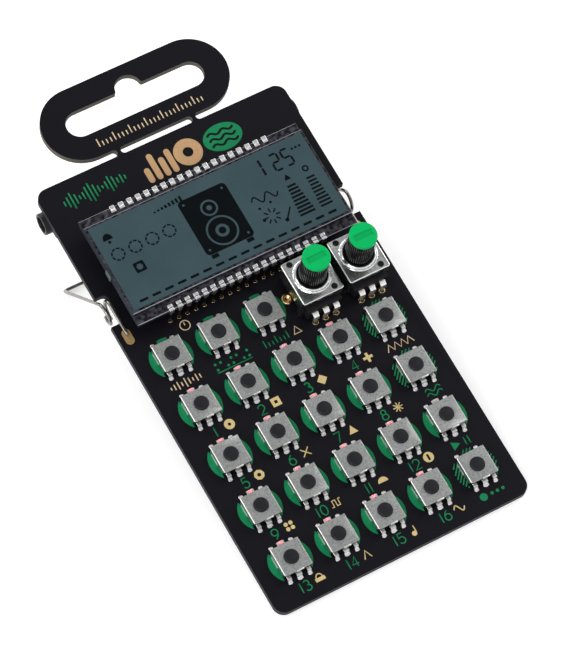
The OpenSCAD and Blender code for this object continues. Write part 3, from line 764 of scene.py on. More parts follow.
# Painted shade at the bottom of the pins' crease
PIN_CREASE_SHADE = Metal("dulled_tin", "#7d7d80", second="#5d5d60", patch=0.5)
# Solder: bright and rippled, greyer where it cooled slowly
SOLDER = Metal("solder", "#ecebea", roughness=0.34, second="#9c9b9e", grain=0.22, relief=0.012, patch=0.5, mottle=1.0,
               spread=0.1)
# Moulded black nylon: fine spark-eroded grain, slightly uneven gloss
BLACK_NYLON = Grained("black_nylon", "#101013", ior=1.3, second="#1d1d21", grain=0.12, relief=0.008)
# Moulded button plastic: smooth black with a soft sheen
BUTTON_ABS = Grained("button_plastic_black", "#16161a", roughness=0.42, ior=1.32, second="#242429", grain=0.13,
                     patch=0.6, mottle=0.8)
# Moulded acetal: dense black, with painted highlights on its splines
SHAFT_LEFT = SplinedAcetal("splined_acetal_left", "#060608", ior=1.16, axis_x=DIALS[0])
SHAFT_RIGHT = SplinedAcetal("splined_acetal_right", "#060608", ior=1.16, axis_x=DIALS[1])
# Moulded coloured plastic: clear even green, satin
CAP_GREEN = Grained("green_cap_plastic", "#00ab5a", roughness=0.42, ior=1.2, second="#009c51", grain=0.14,
                    relief=0.005, patch=1.6, mottle=0.6)
# The floor of the cap's bar, where the light doesn't reach as well
CAP_GROOVE = Grained("green_cap_groove", "#009f53", ior=1.2, second="#00944c", grain=0.14, relief=0.005, patch=1.6,
                     mottle=0.6)
# Snap-dome steel, carbon print and spring bronze: hidden in the switches and dials
CONTACT_STEEL = Metal("contact_steel", "#c8c9cc", roughness=0.3, second="#a0a2a6", patch=1.0)
CARBON = Grained("carbon_ink", "#2c241f", roughness=0.7, second="#181412", grain=0.1)
BRONZE = Metal("spring_bronze", "#b98a4a", roughness=0.3, second="#8e6732", grain=0.15, patch=1.2)
# Drawn spring wire: bright along its length, with faint die lines
WIRE = Metal("drawn_spring_wire", "#989590", roughness=0.24, second="#55524d", grain=0.12, patch=1.4, mottle=1.1,
             spread=0.1)
# Lamp resins: a milky carrier, and lenses that hold a little light
LAMP_CARRIER = Grained("lamp_carrier_resin", "#d8c9c4", second="#bca8a2", grain=0.1, relief=0.004, patch=0.4)
PINK_LENS = Grained("pink_lamp_resin", "#ffe3e6", roughness=0.15, second="#e8274a", relief=0.002, patch=0.3,
                    mottle=1.8, coat=0.6, glow=0.22)
CLEAR_LENS = Grained("clear_lamp_resin", "#c9c6c4", roughness=0.15, second="#a9a6a2", relief=0.002, patch=0.35,
                     mottle=1.0, coat=0.6)
# Polarising film: slate, satin, with a slow change of tone across the display
FILM = Grained("polarising_film", "#364a4f", roughness=0.34, ior=1.3, second="#2f4247", grain=0.3, relief=0.001,
               patch=9.0, mottle=1.6, spread=0.03)
REAR_FILM = Grained("rear_film", "#5c6a6c", roughness=0.4, second="#7b888a", grain=0.3, relief=0.001, patch=8.0)
SEGMENT_INK = Grained("segment_dark", "#03070b", ior=1.15, second="#080e13", relief=0.001, patch=2.0)
SEAL = Grained("epoxy_seal", "#3c474b", roughness=0.25, second="#59666a", relief=0.004)
# Float glass, coated dark behind and ground at its edges, with a painted highlight on its upper and lower arrises
EDGED_GLASS = CoatedGlass("coated_glass", "#131316", roughness=0.16, ior=1.22)
# Pressed film, moulded shell and plated magnet of the small speaker
CONE = Grained("speaker_film", "#3d3f44", roughness=0.45, second="#54565c", grain=0.3, relief=0.01, patch=3.0)
SPEAKER_SHELL = Grained("speaker_shell", "#17181b", ior=1.35, second="#232529", grain=0.14, relief=0.01, patch=1.5)
MAGNET = Metal("plated_magnet", "#8e9093", roughness=0.35, second="#6d6f73", patch=1.4)
# Moulding compound: dull charcoal with a fine blasted texture
CHIP_RESIN = Grained("chip_resin", "#191a1c", roughness=0.6, ior=1.35, second="#27282b", grain=0.09, relief=0.01,
                     patch=0.9)
CRYSTAL_CAN = Metal("crystal_can", "#c6c8cb", roughness=0.28, second="#9da0a4", grain=0.14, patch=1.1,
                    stretch=(1.0, 6.0, 1.0))
# Fired ceramic and moulded tantalum of the small soldered parts
CERAMIC = Grained("part_ceramic_tan", "#b39a74", roughness=0.6, second="#8f7856", grain=0.12, patch=0.5)
TANTALUM = Grained("part_resin_amber", "#b98526", roughness=0.55, second="#96691a", grain=0.12, patch=0.9)
SOCKET_PLASTIC = Grained("socket_plastic", "#0f0f12", roughness=0.42, ior=1.35, second="#1b1b1f", grain=0.13,
                         patch=1.3)
# Nickel-plated can under a shrunk plastic sleeve
CELL_STEEL = Metal("nickel_plated_can", "#cfd0d0", roughness=0.25, second="#a9abac", grain=0.3, patch=1.6)
SLEEVE_UPPER = PrintedSleeve("sleeve_of_upper_cell", "#28313a", roughness=0.28, ior=1.45)
SLEEVE_LOWER = PrintedSleeve("sleeve_of_lower_cell", "#28313a", roughness=0.28, ior=1.45, side=-1)
FLOOR_PAPER = StudioPaper("studio_paper", "#f4f4f4", roughness=0.9, second="#eeeeee", grain=0.8, relief=0.004,
                          patch=40.0)


class Slot(Enum):
    """Names of material slots, one for each kind of finish."""

    BOARD = "board_laminate"
    PLATING = "plated_copper"
    BLACK = "black_plastic"
    BUTTON = "button_plastic"
    STEEL = "steel_sheet"
    TIN = "tinned_metal"
    LAMP = "lamp_resin"
    GLASS = "display_glass"
    FILM = "display_film"
    CAP = "cap_plastic"
    WIRE = "spring_wire"
    CELL = "cell_jacket"
    CHIP = "chip_resin"


# ---------------------------------------------------------------- handing pieces over


def hand_over(piece: Object, finish: Finish, body: str = "unit", replaced: Sequence[str] = ()) -> Object:
    """Dresses a finished piece, hangs it on the body that it rides on, and hides the CAD nodes that it stands for.

    Args:
        piece: The piece, settled in the shared frame.
        finish: Its finish.
        body: The body that it rides on.
        replaced: The CAD nodes that it stands for.

    Returns:
        The piece.
    """
    finish.dress(piece)
    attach(piece, body)
    if replaced:
        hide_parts(*replaced)
    log.info("%s: %d faces, %s", piece.name, len(piece.data.polygons), finish.name)
    return piece


def lay(piece: Object, finish: Finish, replaced: Sequence[str] = ()) -> None:
    """Moves a piece from the board's axes into the shared frame, with its place in its mesh, and hands it over.

    Args:
        piece: The piece.
        finish: Its finish.
        replaced: The CAD nodes that it replaces.
    """
    take(piece)
    piece.matrix_world = TO_FRAME @ piece.matrix_world
    bpy.ops.object.transform_apply()
    hand_over(piece, finish, replaced=replaced)


def spread(pattern: Object, places: Sequence[Sequence[float]], name: str, finish: Finish, slot: Slot = Slot.BOARD,
           replaced: Sequence[str] = ()) -> None:
    """Copies a pattern to places on the board and lays the copies as one piece.

    Args:
        pattern: The piece that is modelled once. It is used up.
        places: For each copy its x, its y and, where it is turned, its angle in degrees.
        name: The joined piece's name.
        finish: Its finish.
        slot: Not used.
        replaced: The CAD nodes that it stands for.
    """
    made = []
    for x, y, *turn in places:
        take(pattern)
        bpy.ops.object.duplicate(linked=False)
        copy = bpy.context.object
        copy.location = (x, y, 0.0)
        copy.rotation_euler.z = math.radians(sum(turn))
        made.append(copy)
    take(*made)
    bpy.ops.object.transform_apply()
    bpy.ops.object.join()
    joined = name_piece(name)
    take(pattern)
    bpy.ops.object.delete()
    lay(joined, finish, replaced)


def rework(node: str, width: float, name: str, finish: Finish, segments: int = 2, body: str = "unit",
           where: Callable[[Vector], bool] | None = None) -> Object:
    """Softens a CAD node's copy, as soften says, and hands it over in the node's place."""
    return hand_over(soften(node, width, name, segments, where), finish, body, [node])


def wear_edges(piece: Object, finish: Finish, where: Callable[[Vector, float], bool]) -> None:
    """Gives some faces of a dressed piece a second finish: tin on leads, a painted highlight on an arris, or painted
    shade in a hollow.

    Args:
        piece: The piece, in the shared frame.
        finish: The second finish.
        where: Takes a face's centre on the board's axes and how far it faces out of the board, and
            says whether to change it.
    """
    piece.data.materials.append(finish.material())
    for face in piece.data.polygons:
        if where(TO_BOARD @ face.center, face.normal.dot(OUTWARD)):
            face.material_index = 1


# ---------------------------------------------------------------- plain figures and marks


# The pen lines of each digit, in a cell one unit high
DIGITS: dict[str, list[Loop]] = {
    "0": [arc_line(0.31, 0.5, 0.31, 0.5, 0, 360)],
    "1": [[(0.06, 0.0), (0.06, 1.0)]],
    "2": [arc_line(0.31, 0.69, 0.31, 0.31, 165, -38) + [(0.0, 0.0), (0.64, 0.0)]],
    "3": [arc_line(0.28, 0.76, 0.24, 0.24, 150, -90), arc_line(0.3, 0.27, 0.3, 0.27, 88, -150)],
    "4": [[(0.46, 0.0), (0.46, 1.0), (0.0, 0.27), (0.64, 0.27)]],
    "5": [[(0.56, 1.0), (0.1, 1.0), (0.06, 0.56)] + arc_line(0.31, 0.32, 0.31, 0.32, 122, -150)],
    "6": [arc_line(0.31, 0.32, 0.31, 0.32, 0, 360), [(0.02, 0.42), (0.13, 0.72), (0.42, 1.0)]],
    "7": [[(0.0, 1.0), (0.62, 1.0), (0.2, 0.0)]],
    "8": [arc_line(0.31, 0.77, 0.23, 0.23, 0, 360), arc_line(0.31, 0.28, 0.3, 0.28, 0, 360)],
    "9": [arc_line(0.31, 0.68, 0.31, 0.32, 0, 360), [(0.6, 0.58), (0.49, 0.28), (0.2, 0.0)]],
}
DIGIT_WIDTHS = {digit: 0.12 if digit == "1" else 0.64 for digit in DIGITS}
DIGIT_GAP = 0.28

# Which of its seven segments each digit shows: top, upper right, lower right, bottom, lower left,
# upper left and middle
SEGMENTS = {"1": "0110000", "2": "1101101", "5": "1011011"}


def number_lines(text: str, x: float, y: float, height: float) -> list[Loop]:
    """A number's pen lines about a middle.

    Args:
        text: The number.
        x: Its middle from left to right.
        y: Its middle from bottom to top.
        height: Its height.

    Returns:
        The lines.
    """
    start = -(sum(DIGIT_WIDTHS[digit] for digit in text) + DIGIT_GAP * (len(text) - 1)) / 2
    lines = []
    for digit in text:
        lines += [[(x + (start + px) * height, y + (py - 0.5) * height) for px, py in line]
                  for line in DIGITS[digit]]
        start += DIGIT_WIDTHS[digit] + DIGIT_GAP
    return lines


def segment_loops(digit: str, x: float, y: float, width: float, height: float, thick: float) -> list[Loop]:
    """The pointed bars of a seven-segment digit.

    Args:
        digit: The digit.
        x: Its left side.
        y: Its foot.
        width: Its width.
        height: Its height.
        thick: Its bars' thickness.

    Returns:
        The bars' outlines.
    """
    half, gap = thick / 2, thick * 0.15
    mid, right, top = y + height / 2, x + width, y + height

    def level(at: float, low: float = x, high: float = right) -> Loop:
        """A bar that lies across the digit.

        Args:
            at: Its height.
            low: Its left end.
            high: Its right end.

        Returns:
            Its outline.
        """
        low, high = low + gap, high - gap
        return [(low, at), (low + half, at - half), (high - half, at - half), (high, at),
                (high - half, at + half), (low + half, at + half)]

    def upright(at: float, low: float, high: float) -> Loop:
        """A bar that stands at one side of the digit."""
        first, *rest = ((py, px) for px, py in level(at, low, high))
        return [first, *reversed(rest)]

    bars = [level(top), upright(right, mid, top), upright(right, y, mid), level(y), upright(x, y, mid),
            upright(x, mid, top), level(mid)]
    return [loop for loop, on in zip(bars, SEGMENTS[digit]) if on == "1"]


@dataclass(frozen=True)
class Mark:
    """A small plain sign: filled outlines and pen lines about its own middle."""

    loops: Sequence[Loop] = ()
    lines: Sequence[Loop] = ()

    def at(self, x: float, y: float) -> Iterator[list[Loop]]:
        """The outlines and then the lines, shifted on the board."""
        return ([[(px + x, py + y) for px, py in line] for line in shapes] for shapes in (self.loops, self.lines))


def marks() -> list[Mark]:
    """The sixteen plain signs beside the step numbers."""
    disc = circle_loop(0, 0, 1.15)
    return [
        Mark([disc, circle_loop(0, 0, 0.36)]),
        Mark([box_loop(-1.0, -1.0, 1.0, 1.0), box_loop(-0.35, -0.35, 0.35, 0.35)]),
        Mark([circle_loop(0, 0, 1.2, 4)]),
        Mark([[(-0.3, -1.1), (0.3, -1.1), (0.3, -0.3), (1.1, -0.3), (1.1, 0.3), (0.3, 0.3), (0.3, 1.1),
               (-0.3, 1.1), (-0.3, 0.3), (-1.1, 0.3), (-1.1, -0.3), (-0.3, -0.3)]]),
        Mark([circle_loop(0, 0, 1.15, 8), circle_loop(0, 0, 0.42)]),
        Mark(lines=[[(-0.9, -0.9), (0.9, 0.9)], [(-0.9, 0.9), (0.9, -0.9)]]),
        Mark([[(-1.0, -0.9), (1.0, -0.9), (0.0, 1.0)]]),
        Mark(lines=[[(-1.1, 0.0), (1.1, 0.0)], [(0.0, -1.1), (0.0, 1.1)], [(-0.8, -0.8), (0.8, 0.8)],
                    [(-0.8, 0.8), (0.8, -0.8)]]),
        Mark([circle_loop(x, y, 0.45) for y in (-0.55, 0.55) for x in (-0.55, 0.55)]),
        Mark(lines=[[(-1.2, -0.7), (-0.7, -0.7), (-0.7, 0.7), (0.0, 0.7), (0.0, -0.7), (0.7, -0.7), (0.7, 0.7),
                     (1.2, 0.7)]]),
        Mark([arc_line(0, -0.5, 1.15, 1.15, 0, 180)]),
        Mark([disc, box_loop(-0.25, -0.7, 0.25, 0.7)]),
        Mark([box_loop(-1.1, -0.7, 1.1, 0.1)], [arc_line(0, 0.1, 0.7, 0.8, 0, 180)]),
        Mark(lines=[[(-0.8, -0.9), (0.0, 0.9), (0.8, -0.9)]]),
        Mark([circle_loop(0, -0.6, 0.55)], [[(0.5, -0.5), (0.5, 1.1)]]),
        Mark(lines=[wave_line(-1.2, 1.2, 0.0, 0.8, 1.0, 20)]),
    ]


# ---------------------------------------------------------------- keys


class Print(Enum):
    """What stands behind a key: a solid disc or a hatched one."""

    SOLID = "solid"
    HATCHED = "hatched"


@dataclass(frozen=True)
class Key:
    """One key: its name, its place in the grid, its print and its lamp."""

    name: str
    column: int
    row: int
    backing: Print = Print.SOLID
    lamp: bool = False


def all_keys() -> list[Key]:
    """The 23 keys, from the steps to the functions."""
    return [
        *(Key(f"step_{n + 1:02d}", n % 4, 3 - n // 4, lamp=True) for n in range(16)),
        Key("sound", 0, 4), Key("pattern", 1, 4), Key("tempo", 2, 4),
        Key("function", 4, 3, Print.HATCHED), Key("effect", 4, 2, Print.HATCHED),
        Key("play", 4, 1, lamp=True), Key("write", 4, 0, Print.HATCHED),
    ]


@dataclass
class Keypad:
    """The key covers, legs, lamps, buttons and the prints behind them, in millimetres."""

    left: float = 7.9
    bottom: float = 9.5
    pitch_x: float = 11.05
    pitch_y: float = 12.6
    half: float = 3.25
    cover_top: float = 2.3
    disc: float = 4.69
    bare_low: float = -2.15
    bare_high: float = 2.9
    lamp_y: float = 4.1
    leg_x: float = 2.3
    label_drop: float = 6.3
    hatch_pitch: float = 0.64
    keys: list[Key] = field(default_factory=all_keys)

    def place(self, key: Key) -> Point:
        """The middle of a key on the board."""
        return self.left + key.column * self.pitch_x, self.bottom + key.row * self.pitch_y

    def places(self, test: Callable[[Key], bool] = lambda key: True) -> list[Point]:
        """The middles of the keys that pass a test."""
        return [self.place(key) for key in self.keys if test(key)]

    def from_key(self, point: Vector) -> Point:
        """A point's place about the middle of the nearest key.

        Args:
            point: The point on the board's axes.

        Returns:
            Its place to the right of the key's middle, and above it.
        """
        column = round((point.x - self.left) / self.pitch_x)
        row = round((point.y - self.bottom) / self.pitch_y)
        return point.x - self.left - column * self.pitch_x, point.y - self.bottom - row * self.pitch_y

    def rolled(self, middle: Vector) -> bool:
        """Whether an edge runs round the outside of a cover's top."""
        x, y = self.from_key(middle)
        return abs(middle.z - self.cover_top) < 0.01 and abs(max(abs(x), abs(y)) - self.half) < 0.02

    def worn(self, centre: Vector, facing: float) -> bool:
        """Whether a face lies on the arris along a cover's left side, which is given a painted highlight."""
        on_arris = 0.2 < facing < 0.99 and centre.z > self.cover_top - 0.25
        return on_arris and self.from_key(centre)[0] < 0.2 - self.half

    def build(self) -> None:
        """Makes all the keypad's pieces."""
        self.make_metal()
        self.make_lamps()
        self.make_solder()
        self.make_discs()
        self.make_hatching()
        self.make_numbers()
        self.make_labels()

    def make_metal(self) -> None:
        """Rolls the covers' upper edges, and rounds the legs, the bases and each button's rim."""
        top, edge = self.cover_top, -self.half
        covers = rework("key_covers", 0.2, "pressed_key_covers", KEY_STEEL, 3, where=self.rolled)
        # A painted highlight on the left arris of every cover
        wear_edges(covers, HIGHLIGHT_STEEL, self.worn)
        # Side tabs and front lips in steel with a painted highlight, for the bright lines along the covers' feet and
        # lower edges
        tab = block((edge - 0.06, -0.4, 0.03), (edge + 0.12, 2.3, 0.75), 0.05)
        spread(smooth(tab), [(x, y, turn) for x, y in self.places() for turn in (0, 180)], "cover_side_tabs",
               HIGHLIGHT_STEEL, Slot.STEEL)
        lip = block((-0.5, edge - 0.15, top - 0.5), (1.1, edge + 0.12, top), 0.05)
        spread(smooth(lip), self.places(), "cover_front_lips", HIGHLIGHT_STEEL, Slot.STEEL)
        rework("key_legs", 0.05, "pressed_key_legs", BRIGHT_TIN, 1)
        rework("key_bases", 0.06, "moulded_key_bases", BLACK_NYLON, 1)
        CONTACT_STEEL.dress("key_domes")
        for node in (f"button_{key.name}" for key in self.keys):
            rework(node, 0.05, f"moulded_{node}", BUTTON_ABS, body=node)

    def make_lamps(self) -> None:
        """Models one lamp's carrier and lens, and copies them above the keys that have one."""
        low, high = self.lamp_y - 0.4, self.lamp_y + 0.4
        carrier = block((-0.8, low, 0.02), (0.8, high, 0.3), 0.03, 1)
        with editing(carrier):
            pick_faces(lambda c, n: abs(n.x) > 0.9)
            bpy.ops.mesh.inset(thickness=0.07)
            bpy.ops.transform.translate(value=(0, 0, -0.03))
        lit = self.places(lambda key: key.lamp)
        spread(carrier, lit, "lamp_carriers", LAMP_CARRIER, Slot.LAMP, ["key_lights"])
        for finish, chosen, name in ((PINK_LENS, lit[:16], "pink_lamp_lenses"),
                                     (CLEAR_LENS, lit[16:], "clear_lamp_lens")):
            lens = block((-0.52, low, 0.28), (0.52, high, 0.6), 0.15, 4)
            with editing(lens):
                pick_faces(lambda c, n: n.z > 0.9 and c.z > 0.59)
                bpy.ops.mesh.inset(thickness=0.1, depth=0.02)
            spread(smooth(lens, 70.0), chosen, name, finish, Slot.LAMP)

    def make_solder(self) -> None:
        """Models one solder fillet and sets it round the foot of every leg."""
        feet = [(x + dx, y + dy) for x, y in self.places()
                for dx, dy in ((-self.leg_x, 4.05), (self.leg_x, 4.05), (-self.leg_x, -4.3), (0.0, -4.3),
                               (self.leg_x, -4.3))]
        spread(solder_drop((0.5, 0.34, 0.17)), feet, "key_solder", SOLDER, Slot.TIN)

    def bare(self, x: float, y: float, lamp: bool) -> bool:
        """Whether a place about a key's middle is kept free of ink for its pads."""
        between_legs = not lamp and -1.2 < x < 1.3
        return (y < self.bare_low and abs(x) < 3.15) or (y > self.bare_high and abs(x) < 3.4 and not between_legs)

    def make_discs(self) -> None:
        """Prints the solid discs behind the keys, cut back round the pads."""
        for lamp, name in ((True, "green_discs_lamp"), (False, "green_discs_plain")):
            loop = [(x, (self.bare_low if y < 0 else self.bare_high) if self.bare(x, y, lamp) else y)
                    for x, y in circle_loop(0, 0, self.disc, 240)]
            solid = self.places(lambda key: key.backing is Print.SOLID and key.lamp == lamp)
            spread(flat_print("disc", [loop]), solid, name, GREEN_INK)

    def make_hatching(self) -> None:
        """Prints the hatched discs as short leaning stripes."""
        lean = math.radians(50.0)
        along, across = Vector((math.cos(lean), math.sin(lean))), Vector((-math.sin(lean), math.cos(lean)))
        stripes: list[Loop] = []
        for i in range(-7, 8):
            offset = i * self.hatch_pitch
            reach = math.sqrt(max(0.0, self.disc ** 2 - offset ** 2))
            kept: Loop = []
            for j in range(42):
                point = across * offset + along * reach * (j / 20 - 1)
                if j < 41 and not self.bare(point.x, point.y, False):
                    kept.append((point.x, point.y))
                    continue
                if len(kept) > 2:
                    stripes.append([kept[0], kept[-1]])
                kept = []
        spread(line_print("hatch", stripes, 0.33), self.places(lambda key: key.backing is Print.HATCHED),
               "hatched_discs", GREEN_INK)

    def make_numbers(self) -> None:
        """Prints the step numbers below their keys, and a plain sign beside each."""
        numbers, loops, lines = [], [], []
        for step, (key, mark) in enumerate(zip(self.keys, marks()), 1):
            x, y = self.place(key)
            numbers += number_lines(str(step), x + 0.1, y - self.label_drop, 2.25)
            more_loops, more_lines = mark.at(x + 3.5, y - self.label_drop + 0.3)
            loops += more_loops
            lines += more_lines
        lay(line_print("step_numbers", numbers, 0.27), GREEN_INK)
        lay(flat_print("gold_signs", loops), PALE_GOLD)
        lay(line_print("gold_line_signs", lines, 0.27), PALE_GOLD)

    def make_labels(self) -> None:
        """Prints plain signs where the other keys are labelled."""
        at = {key.name: (self.place(key)[0], self.place(key)[1] - self.label_drop) for key in self.keys}
        x, y = at["sound"]
        cream_lines = [[(x + (i - 4) * 0.85, y - h), (x + (i - 4) * 0.85, y + h)]
                       for i, h in enumerate((0.3, 0.65, 0.95, 0.5, 1.1, 0.75, 0.4, 0.85, 0.5))]
        x, y = at["pattern"]
        green_loops = [circle_loop(x + (i - 3) * 1.25, y + j * 0.65, 0.3, 16) for i in range(7) for j in (-1, 1)
                       if (i + j) % 3]
        green_lines = [[(x - 4.1, y - 1.3), (x + 4.1, y - 1.3)]]
        x, y = at["tempo"]
        green_lines += [[(x - 0.6 + i * 0.9, y - 0.9), (x - 0.6 + i * 0.9, y + (0.1 if i % 3 else 0.9))]
                        for i in range(-3, 4)]
        cream_lines.append([(x + 3.4, y - 0.8), (x + 4.3, y + 0.9), (x + 5.2, y - 0.8), (x + 3.4, y - 0.8)])
        x, y = at["function"]
        cream_lines.append([(x - 3.1 + i * 0.78, y + (0.8 if i % 2 else -0.8)) for i in range(9)])
        x, y = at["effect"]
        green_lines += [wave_line(x - 0.8, x + 2.8, y + dy, 0.45, 1.5) for dy in (-0.55, 0.55)]
        x, y = at["play"]
        green_loops.append([(x - 1.9, y - 1.0), (x - 0.1, y), (x - 1.9, y + 1.0)])
        green_lines += [[(x + dx, y - 0.9), (x + dx, y + 0.9)] for dx in (1.1, 2.0)]
        x, y = at["write"]
        green_loops += [circle_loop(x - 1.8, y, 0.85), *(circle_loop(x + dx, y, 0.36, 16) for dx in (0.2, 1.5, 2.8))]
        lay(line_print("green_line_labels", green_lines, 0.26), GREEN_INK)
        lay(flat_print("green_labels", green_loops), GREEN_INK)
        lay(line_print("cream_labels", cream_lines, 0.28), CREAM_INK)


# ---------------------------------------------------------------- the board and its prints


@dataclass
class Board:
    """The board's edges, plating, rings and plain marks, in millimetres."""

    pin_left: float = 11.73
    pin_pitch: float = 2.03
    pin_count: int = 19
    pin_rows: tuple[float, float] = (67.255, 93.945)
    terminal_y: float = 53.3
    terminal_pitch: float = 2.5
    anchors: tuple[Point, ...] = ((2.1, 68.05), (57.9, 68.05))
    eyelet: Point = (35.95, 60.6)

    def pins(self) -> list[Point]:
        """The places of the display's pins."""
        return [(self.pin_left + i * self.pin_pitch, y) for y in self.pin_rows for i in range(self.pin_count)]

    def terminals(self) -> list[Point]:
        """The places of the dials' terminals."""
        return [(x + i * self.terminal_pitch, self.terminal_y) for x in DIALS for i in (-1, 0, 1)]

    def build(self) -> None:
        """Makes the board's own pieces."""
        rework("circuit_board", 0.07, "routed_board", MASKED_BOARD)
        rework("plated_sleeves", 0.0, "gold_sleeves", GOLD)
        self.make_rings()
        self.make_eyelet()
        for places, width, height, name in ((self.pins(), 0.52, 0.48, "pin"), (self.terminals(), 0.8, 0.6, "terminal")):
            spread(solder_drop((width, width, height), BACK, -1), places, f"{name}_joints", SOLDER, Slot.TIN)
        self.make_anchor_solder()
        self.make_top_marks()
        ticks = [[(17.9 + i * 0.96, 109.6), (17.9 + i * 0.96, 110.7 if i % 4 else 111.6)] for i in range(27)]
        lay(line_print("tab_scale", ticks, 0.27), CREAM_INK)

    def make_rings(self) -> None:
        """Lays the gold rings round the holes of the display's and dials' pins, on both faces."""
        for name, low, side in (("front", 0.0, 1), ("back", BACK, -1)):
            for places, radius, width, kind in ((self.pins(), 0.35, 0.2, "pin"),
                                                (self.terminals(), 0.6, 0.22, "terminal")):
                ring = line_print("ring", [arc_line(0, 0, radius, radius, 0, 360, 20)], width, low, 0.06, side)
                spread(ring, places, f"{kind}_rings_{name}", GOLD_PAD, Slot.PLATING)

    def make_eyelet(self) -> None:
        """Models the pressed eyelet's rolled flange and its dished middle."""
        bpy.ops.mesh.primitive_torus_add(major_segments=40, minor_segments=12, major_radius=0.92, minor_radius=0.36)
        flange = name_piece("flange")
        with editing(flange):
            keep_above(0)
            bpy.ops.mesh.select_all(action="SELECT")
            stretch((1.0, 1.0, 0.8))
        spread(smooth(flange, 60.0), [self.eyelet], "eyelet_flange.001", GOLD_PAD, Slot.PLATING)
        dish = flat_print("dish", [circle_loop(0, 0, 0.7)], -0.5, -0.02)
        dished(dish, 0.2, (0.1, 0.14), lambda c, n: n.z > 0.9)
        spread(smooth(dish, 60.0), [self.eyelet], "eyelet_dish", GOLD_PAD, Slot.PLATING)

    def make_anchor_solder(self) -> None:
        """Fills the stand's anchor slots with solder that has drawn down in the middle."""
        loop = [(x, y + (0.9 if i < 16 else -0.9)) for i, (x, y) in enumerate(circle_loop(0, 0, 0.53))]
        plug = flat_print("plug", [loop], BACK + 0.1, -0.06)
        dished(plug, 0.15, (0.12, 0.1), lambda c, n: n.z > 0.9 and c.z > -0.45 and abs(c.x) < 0.1)
        spread(smooth(plug, 60.0), self.anchors, "anchor_solder", GOLD_SOLDER, Slot.PLATING)

    def make_top_marks(self) -> None:
        """Prints the plain gold and green marks above the display, and a small dial sign below it."""
        bars = [stroke_loop([(24.0 + i * 1.95, 97.7), (24.0 + i * 1.95, 97.7 + h)], 1.35)
                for i, h in enumerate((2.4, 5.2, 3.4, 4.6))]
        disc = [circle_loop(34.0, 100.2, 3.2, 48), circle_loop(34.0, 100.2, 1.15)]
        lay(flat_print("gold_level_bars", bars + disc), GOLD_INK)
        oval = arc_line(42.4, 100.1, 4.5, 3.2, 0, 360, 64)[:-1]
        waves = [stroke_loop(wave_line(39.4, 45.4, y, 0.35, 2.0, 24), 0.55) for y in (98.7, 100.1, 101.5)]
        lay(flat_print("green_oval", [oval, *waves]), GREEN_INK)
        heights = (0.6, 1.3, 2.0, 1.2, 0.5, 0.9, 1.8, 2.3, 1.5, 0.8, 0.4, 1.0, 1.9, 1.4, 0.7, 1.1, 0.5)
        trace = [[(4.8 + i * 0.9, 101.0 - h), (4.8 + i * 0.9, 101.0 + h)] for i, h in enumerate(heights)]
        lay(line_print("green_level_trace", trace, 0.36), GREEN_INK)
        dial = [arc_line(13.97, 65.02, 1.1, 1.1, 0, 360), [(13.97, 65.02), (13.97, 65.75)]]
        lay(line_print("small_dial_mark", dial, 0.22), CREAM_INK)


def dished(piece: Object, step: float, depths: Sequence[float], where: Callable[[Vector, Vector], bool]) -> None:
    """Sinks some faces of a piece in steps.

    Args:
        piece: The piece.
        step: The width of each step.
        depths: The depth of each step.
        where: Takes a face's centre and normal, and says whether to sink it.
    """
    with editing(piece):
        for depth in depths:
            pick_faces(where)
            bpy.ops.mesh.inset(thickness=step, depth=-depth)


# ---------------------------------------------------------------- the display


